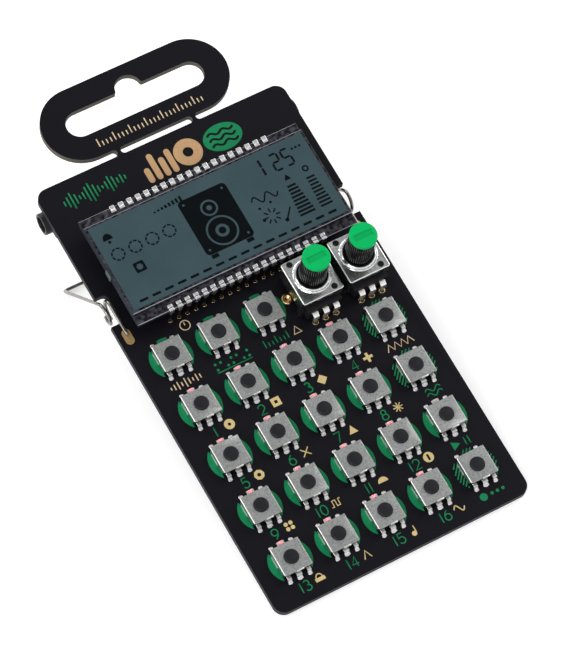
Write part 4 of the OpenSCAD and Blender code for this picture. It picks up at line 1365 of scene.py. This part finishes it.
@dataclass
class Display:
    """The display's glass, films, pins, seal and segments, in millimetres."""

    face: float = 6.6
    ink: float = 0.015
    middle_y: float = 80.6
    finger_top: float = 5.55
    crease: tuple[float, ...] = (12.56, 12.64, 12.86, 12.94)
    crease_depth: float = 0.06

    def creased(self, centre: Vector) -> bool:
        """Whether a face lies in the crease on a pin's upper finger."""
        return (centre.z > self.finger_top - 0.1
                and self.crease[1] < abs(centre.y - self.middle_y) < self.crease[2])

    def build(self) -> None:
        """Makes the display's pieces."""
        self.make_pins()
        for node in ("display_rear_glass", "display_front_glass"):
            rework(node, 0.12, "ground_" + node, EDGED_GLASS, 1)
        FILM.dress("display_front_film")
        REAR_FILM.dress("display_rear_film")
        seal = block((3.45, 79.0, 4.5), (3.85, 81.2, 6.2), 0.15, 3)
        dished(seal, 0.25, [-0.03], lambda c, n: n.x < -0.9)
        spread(smooth(seal, 60.0), [(0, 0)], "end_seal", SEAL, Slot.FILM)
        self.make_segments()

    def make_pins(self) -> None:
        """Presses a shallow crease across every pin, and paints shade into the crease along the lower row, near the
        keys.
        """
        pins = soften("display_pins", 0.07, "pressed_display_pins")
        with editing(pins):
            for y in (self.middle_y + side * offset for side in (-1, 1) for offset in self.crease):
                bpy.ops.mesh.select_all(action="SELECT")
                bpy.ops.mesh.bisect(plane_co=TO_FRAME @ Vector((0, y, 0)), plane_no=UPWARD, threshold=1e-7)
            pick_faces(lambda c, n: self.creased(TO_BOARD @ c) and n.dot(OUTWARD) > 0.5)
            bpy.ops.transform.translate(value=OUTWARD * -self.crease_depth * MM)
        hand_over(pins, PIN_TIN, replaced=["display_pins"])
        wear_edges(pins, PIN_CREASE_SHADE, lambda c, up: up > 0.2 and c.y < self.middle_y and self.creased(c))

    def make_segments(self) -> None:
        """Lays out the display's dark segments: plain shapes, levels and numbers."""
        loops = self.speaker_picture() + self.step_row() + self.digits() + self.meters() + self.small_signs()
        lay(flat_print("segments", loops, self.face, self.face + self.ink), SEGMENT_INK)
        rays = [[(40.6 + r * math.cos(a), 76.4 + r * math.sin(a)) for r in (0.9, 1.9)]
                for a in (i * math.pi / 4 for i in range(8))]
        lines = [wave_line(38.2, 44.4, 81.0, 0.9, 2.0), [(43.0, 74.2), (45.0, 76.6)], *rays]
        lay(line_print("segment_lines", lines, 0.34, self.face, self.ink), SEGMENT_INK)

    def speaker_picture(self) -> list[Loop]:
        """A loudspeaker box with two round openings."""
        x, low, high = 29.6, 78.2, 84.0
        feet = [box_loop(x + s * 4.2 - 0.8, 73.2, x + s * 4.2 + 0.8, 74.1) for s in (-1, 1)]
        rings = [circle_loop(x, y, radius, steps) for y, radius, steps in (
            (low, 3.5, 48), (low, 3.05, 48), (low, 1.5, 32), (low, 0.8, 32), (high, 1.9, 40), (high, 1.45, 32),
            (high, 0.6, 32))]
        screws = [circle_loop(x + dx, y, 0.28, 12) for dx in (-4.6, 4.6) for y in (75.3, 86.9)]
        return [*feet, round_box_loop(23.9, 74.2, 35.3, 88.0, 1.0), *rings, *screws]

    def step_row(self) -> list[Loop]:
        """The sixteen dashes along the foot and the four broken rings at the left."""
        dashes = [box_loop(6.36 + i * 3.007, 71.3, 8.3 + i * 3.007, 71.86) for i in range(16)]
        reach = ((-0.3, 1.22), (-0.27, 1.56), (0.27, 1.56), (0.3, 1.22))
        return dashes + [[(x + math.cos(a + da) * r, 83.1 + math.sin(a + da) * r) for da, r in reach]
                         for x in (7.5, 11.55, 15.55, 19.6) for a in (i * math.pi / 4 + math.pi / 8 for i in range(8))]

    def digits(self) -> list[Loop]:
        """The plain number at the upper right, with three dots behind it."""
        return [*segment_loops("1", 42.0, 85.1, 2.1, 4.2, 0.5), *segment_loops("2", 46.6, 85.1, 1.7, 3.9, 0.46),
                *segment_loops("5", 49.3, 85.1, 1.7, 3.9, 0.46),
                *(circle_loop(52.0 + i * 0.9, 88.3, 0.28, 12) for i in range(3))]

    def meters(self) -> list[Loop]:
        """Two stacks of level bars with a sign over each."""
        bars = [box_loop(x - w, 73.5 + i * 0.88, x + w, high + i * 0.88) for x, high, halves in (
            (47.7, 74.0, (1.8, 1.8, 1.6, 1.6, 1.4, 1.4, 1.2, 1.2, 1.0)),
            (52.3, 73.95, (1.4, 1.4, 1.4, 1.2, 1.2, 1.2, 1.0, 1.0, 1.0))) for i, w in enumerate(halves)]
        return [*bars, [(47.0, 82.3), (48.5, 82.3), (47.75, 83.7)], circle_loop(52.3, 83.0, 0.75),
                circle_loop(52.3, 83.0, 0.4, 20)]

    def small_signs(self) -> list[Loop]:
        """A row of rising bars, a bell-like dome, a ring and a few dots."""
        rising = [box_loop(18.6 + i * 0.9, 88.0, 19.1 + i * 0.9, 88.35 + i * 0.13) for i in range(8)]
        dome = [arc_line(7.2, 86.9, 1.1, 1.5, 0, 180), circle_loop(7.2, 86.3, 0.35, 16)]
        frame = [round_box_loop(8.95, 77.4, 11.35, 79.8, 0.3), circle_loop(10.15, 78.6, 0.7, 24)]
        dots = [circle_loop(x, y, r, 16) for x, y, r in ((38.6, 76.2, 0.4), (43.0, 74.2, 0.45), (39.0, 79.0, 0.3),
                                                         (41.8, 79.4, 0.3))]
        return rising + dome + frame + dots


# ---------------------------------------------------------------- dials and stand


@dataclass
class Dials:
    """The two dials' covers, bases, terminals, shafts and caps, in millimetres."""

    cover_top: float = 6.7
    half: float = 4.85
    groove: float = 15.6
    reach: tuple[float, float] = (-5.3, 5.1)
    corner: float = 0.5

    def from_axis(self, point: Vector) -> Point:
        """A point's place about the middle of the nearer dial."""
        return point.x - min(DIALS, key=lambda x: abs(point.x - x)), point.y - DIAL_Y

    def folded(self, middle: Vector) -> bool:
        """Whether an edge runs round the outside of a cover's top plate.

        Args:
            middle: The edge's middle.

        Returns:
            Whether it does.
        """
        x, y = self.from_axis(middle)
        inward = abs(x) - self.half + self.corner, max(y - self.reach[1], self.reach[0] - y) + self.corner
        if min(inward) > 0:
            on_outline = abs(math.hypot(*inward) - self.corner) < 0.04
        else:
            on_outline = abs(max(inward) - self.corner) < 0.02
        return on_outline and abs(middle.z - self.cover_top) < 0.01

    def sheared(self, centre: Vector, facing: float) -> bool:
        """Whether a face lies on the arris along a cover's left or lower side, which is given a painted highlight.

        Args:
            centre: The face's centre.
            facing: How far it faces away from the board.

        Returns:
            Whether it does.
        """
        x, y = self.from_axis(centre)
        on_arris = 0.2 < facing < 0.99 and centre.z > self.cover_top - 0.3 and math.hypot(x, y) > 4.3
        return on_arris and (x < 0.2 - self.half or y < self.reach[0] + 0.15)

    def build(self) -> None:
        """Makes the dials' pieces and dresses their nodes."""
        covers = rework("dial_covers", 0.22, "pressed_dial_covers", DIAL_STEEL, 3, where=self.folded)
        # A painted highlight on the left and lower arris of each dial cover
        wear_edges(covers, HIGHLIGHT_STEEL, self.sheared)
        rework("dial_bases", 0.1, "moulded_dial_bases", BLACK_NYLON)
        rework("dial_terminals", 0.08, "pressed_dial_terminals", BRIGHT_TIN)
        CARBON.dress("dial_tracks")
        for side, acetal in (("left", SHAFT_LEFT), ("right", SHAFT_RIGHT)):
            acetal.dress(f"dial_shaft_{side}")
            BRONZE.dress(f"dial_wiper_{side}")
            node = f"dial_cap_{side}"
            cap = rework(node, 0.06, f"moulded_{node}", CAP_GREEN, body=f"dial_{side}")
            wear_edges(cap, CAP_GROOVE, lambda c, up: abs(c.z - self.groove) < 0.08 and up > 0.9)


@dataclass
class Stand:
    """The spring-wire stand, drawn smooth."""

    def build(self) -> None:
        """Makes the fixed arms and the bail."""
        rework("stand_springs", 0.0, "drawn_stand_springs", WIRE)
        rework("stand_bail", 0.0, "drawn_stand_bail", WIRE, body="stand")


# ---------------------------------------------------------------- back of the board


@dataclass
class Cells:
    """The two cells: a plated can in a printed sleeve, and the clips that hold them, in millimetres."""

    middle: float = 30.0
    rows: tuple[float, float] = (89.8, 78.2)
    depth: float = -7.4
    radius: float = 5.25
    can_radius: float = 4.45
    can_length: float = 43.7
    button: float = 0.8
    button_radius: float = 1.9
    shoulder: float = 0.12

    def barrel(self, radius: float, length: float) -> Object:
        """Adds a round bar along the board's X, about the cell's middle.

        Args:
            radius: Its radius.
            length: Its length.

        Returns:
            The bar.
        """
        bpy.ops.mesh.primitive_cylinder_add(vertices=56, radius=radius, depth=length, rotation=(0, math.pi / 2, 0),
                                            location=(-self.button / 2, 0, self.depth))
        return name_piece("barrel")

    def can(self) -> Object:
        """Models the plated can, with its button at one end and its dimple at the other."""
        can = self.barrel(self.can_radius, self.can_length)
        with editing(can):
            pick_faces(lambda c, n: n.x > 0.9)
            bpy.ops.mesh.inset(thickness=self.can_radius - self.button_radius - 0.5)
            bpy.ops.mesh.inset(thickness=0.5, depth=self.shoulder)
            bpy.ops.mesh.extrude_region_move(TRANSFORM_OT_translate={"value": (self.button - self.shoulder, 0, 0)})
            pick_faces(lambda c, n: n.x < -0.9)
            bpy.ops.mesh.inset(thickness=0.6)
            bpy.ops.mesh.inset(thickness=0.3, depth=-0.2)
        return can

    def sleeve(self) -> Object:
        """Models the shrunk sleeve, which turns in over both ends of the can."""
        sleeve = self.barrel(self.radius, self.can_length - 0.1)
        with editing(sleeve):
            pick_faces(lambda c, n: abs(n.x) > 0.9)
            bpy.ops.mesh.bevel(offset=0.3, segments=4, affect="EDGES")
        return sleeve

    def build(self) -> None:
        """Makes both cells and the clips."""
        for name, row, turn, finish in (("upper", self.rows[0], 0, SLEEVE_UPPER),
                                        ("lower", self.rows[1], 180, SLEEVE_LOWER)):
            place = [(self.middle, row, turn)]
            spread(smooth(self.can(), 40.0), place, f"cell_can_{name}", CELL_STEEL, Slot.CELL, [f"cell_{name}"])
            spread(smooth(self.sleeve(), 40.0), place, f"cell_sleeve_{name}", finish, Slot.CELL)
        rework("cell_clips", 0.08, "pressed_cell_clips", BRIGHT_TIN)


@dataclass
class BackParts:
    """The sockets, speaker and chips behind the board, in millimetres."""

    chip: Point = (20.0, 61.0)
    chip_reach: float = 5.04
    small_row: float = 65.6
    small_pitch: float = 2.4
    tall: tuple[Point, ...] = ((13.25, 42.2), (46.75, 42.2))

    def build(self) -> None:
        """Rounds what is pressed or moulded, tins the processor's leads and marks its first one."""
        for side in ("left", "right"):
            rework(f"socket_{side}", 0.14, f"moulded_socket_{side}", SOCKET_PLASTIC, 3)
        BRIGHT_TIN.dress("socket_contacts")
        rework("speaker_frame", 0.18, "moulded_speaker_frame", SPEAKER_SHELL, 3)
        rework("speaker_cone", 0.0, "pressed_speaker_cone", CONE)
        MAGNET.dress("speaker_magnet")
        chip, (x, y) = rework("processor", 0.05, "moulded_processor", CHIP_RESIN, 1), self.chip
        wear_edges(chip, BRIGHT_TIN, lambda c, _: max(abs(c.x - x), abs(c.y - y)) > self.chip_reach)
        rework("sound_converter", 0.08, "moulded_converter", CHIP_RESIN)
        rework("crystal", 0.15, "crystal_can", CRYSTAL_CAN, 3)
        dot = [circle_loop(16.2, 64.4, 0.4, 24)]
        lay(flat_print("first_lead_dot", dot, BACK - 1.42, BACK - 1.4), CREAM_INK)
        self.make_small_parts()

    def make_small_parts(self) -> None:
        """Models one small part and one tall one, with tinned ends, and copies them to their places."""
        small = [(x + i * self.small_pitch, self.small_row) for x, indices in (
            (42.0, range(-2, 3)), (32.0 - self.small_pitch, range(-1, 2))) for i in indices]
        replaced = ["small_parts"]
        for places, length, width, height, cap, finish, name in (
                (small, 1.6, 0.8, 0.6, 0.3, CERAMIC, "small"), (self.tall, 3.5, 2.8, 1.9, 0.6, TANTALUM, "tall")):
            x, y, z = length / 2, width / 2, BACK - height
            body = block((-x + cap * 0.6, -y, z), (x - cap * 0.6, y, BACK), 0.05 * height)
            spread(smooth(body), places, f"{name}_part_bodies", finish, Slot.CHIP, replaced)
            end = block((-x, -y + 0.02, z + 0.02), (-x + cap, y - 0.02, BACK), 0.06 * height)
            spread(smooth(end), [(px, py, turn) for px, py in places for turn in (0, 180)], f"{name}_part_ends",
                   BRIGHT_TIN, Slot.TIN)
            replaced = []


# ---------------------------------------------------------------- studio


@dataclass
class Studio:
    """The pale floor, the soft light and the camera, in metres."""

    camera_place: tuple[float, float, float] = (-0.20637755, -0.37743196, 0.62550014)
    camera_turn: tuple[float, float, float] = (0.6063459838275632, 0.0059797195912034695, -0.5220997036703218)
    focal_length: float = 195.8463
    aim: tuple[float, float, float] = (0.0, 0.0, 0.01)

    def build(self) -> None:
        """Lays a wide sheet of pale paper, and makes the lamps, the world and the camera."""
        bpy.ops.mesh.primitive_circle_add(vertices=96, radius=3.0, fill_type="NGON", location=(0, 0, -0.0002))
        floor = name_piece("studio_floor")
        FLOOR_PAPER.dress(floor)
        self.make_lamps()
        self.make_world()
        self.make_camera()
        bpy.context.scene.view_settings.view_transform = "Standard"

    def add(self, name: str, data: bpy.types.ID, place: Sequence[float]) -> Object:
        """Adds a lamp or camera at a place, and returns it.

        Args:
            name: Its name.
            data: The lamp's or camera's own data.
            place: Where it stands.

        Returns:
            The lamp or camera.
        """
        thing = bpy.data.objects.new(name, data)
        bpy.context.scene.collection.objects.link(thing)
        thing.location = place
        return thing

    def make_lamps(self) -> None:
        """Hangs a strong soft lamp at the left, weaker ones at the right and behind, and a small one for the edges."""
        for name, place, size, watts in (("soft_left", (-0.7, -0.5, 0.7), 0.7, 6.4),
                                         ("soft_right", (0.8, 0.1, 0.6), 0.6, 3.2),
                                         ("soft_back", (-0.1, 0.9, 0.6), 0.6, 3.2),
                                         ("soft_edge", (-0.9, 0.25, 0.4), 0.35, 1.6)):
            data = bpy.data.lights.new(name, "AREA")
            data.shape, data.size, data.energy = "SQUARE", size, watts
            lamp = self.add(name, data, place)
            lamp.rotation_mode = "QUATERNION"
            lamp.rotation_quaternion = (Vector(self.aim) - Vector(place)).to_track_quat("-Z", "Y")

    def make_world(self) -> None:
        """Makes a pale room whose ceiling is dimmer than its walls."""
        world = bpy.context.scene.world = bpy.data.worlds.new("pale_room")
        world.use_nodes = True
        nodes = Nodes(world.node_tree)
        height = nodes.add("SeparateXYZ", {0: nodes.coordinates["Generated"]})["Z"]
        nodes.feed(world.node_tree.nodes["Background"], {"Strength": nodes.ramp(height, 0.1, 0.95, 1.0, 0.38),
                                                         "Color": "#ffffff"})

    def make_camera(self) -> None:
        """Sets the camera at the picture's angle."""
        data = bpy.data.cameras.new("camera")
        data.lens, data.sensor_width = self.focal_length, 36.0
        data.clip_start, data.clip_end = 0.01, 20.0
        camera = bpy.context.scene.camera = self.add("camera", data, self.camera_place)
        camera.rotation_euler = self.camera_turn


def main() -> None:
    """Builds every sub-assembly in order."""
    logging.basicConfig(level=logging.INFO, format="%(message)s")
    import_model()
    Studio().build()
    for part in (Board(), Keypad(), Display(), Dials(), Stand(), Cells(), BackParts()):
        part.build()
        log.info("built %s", type(part).__name__)


if __name__ == "__main__":
    main()
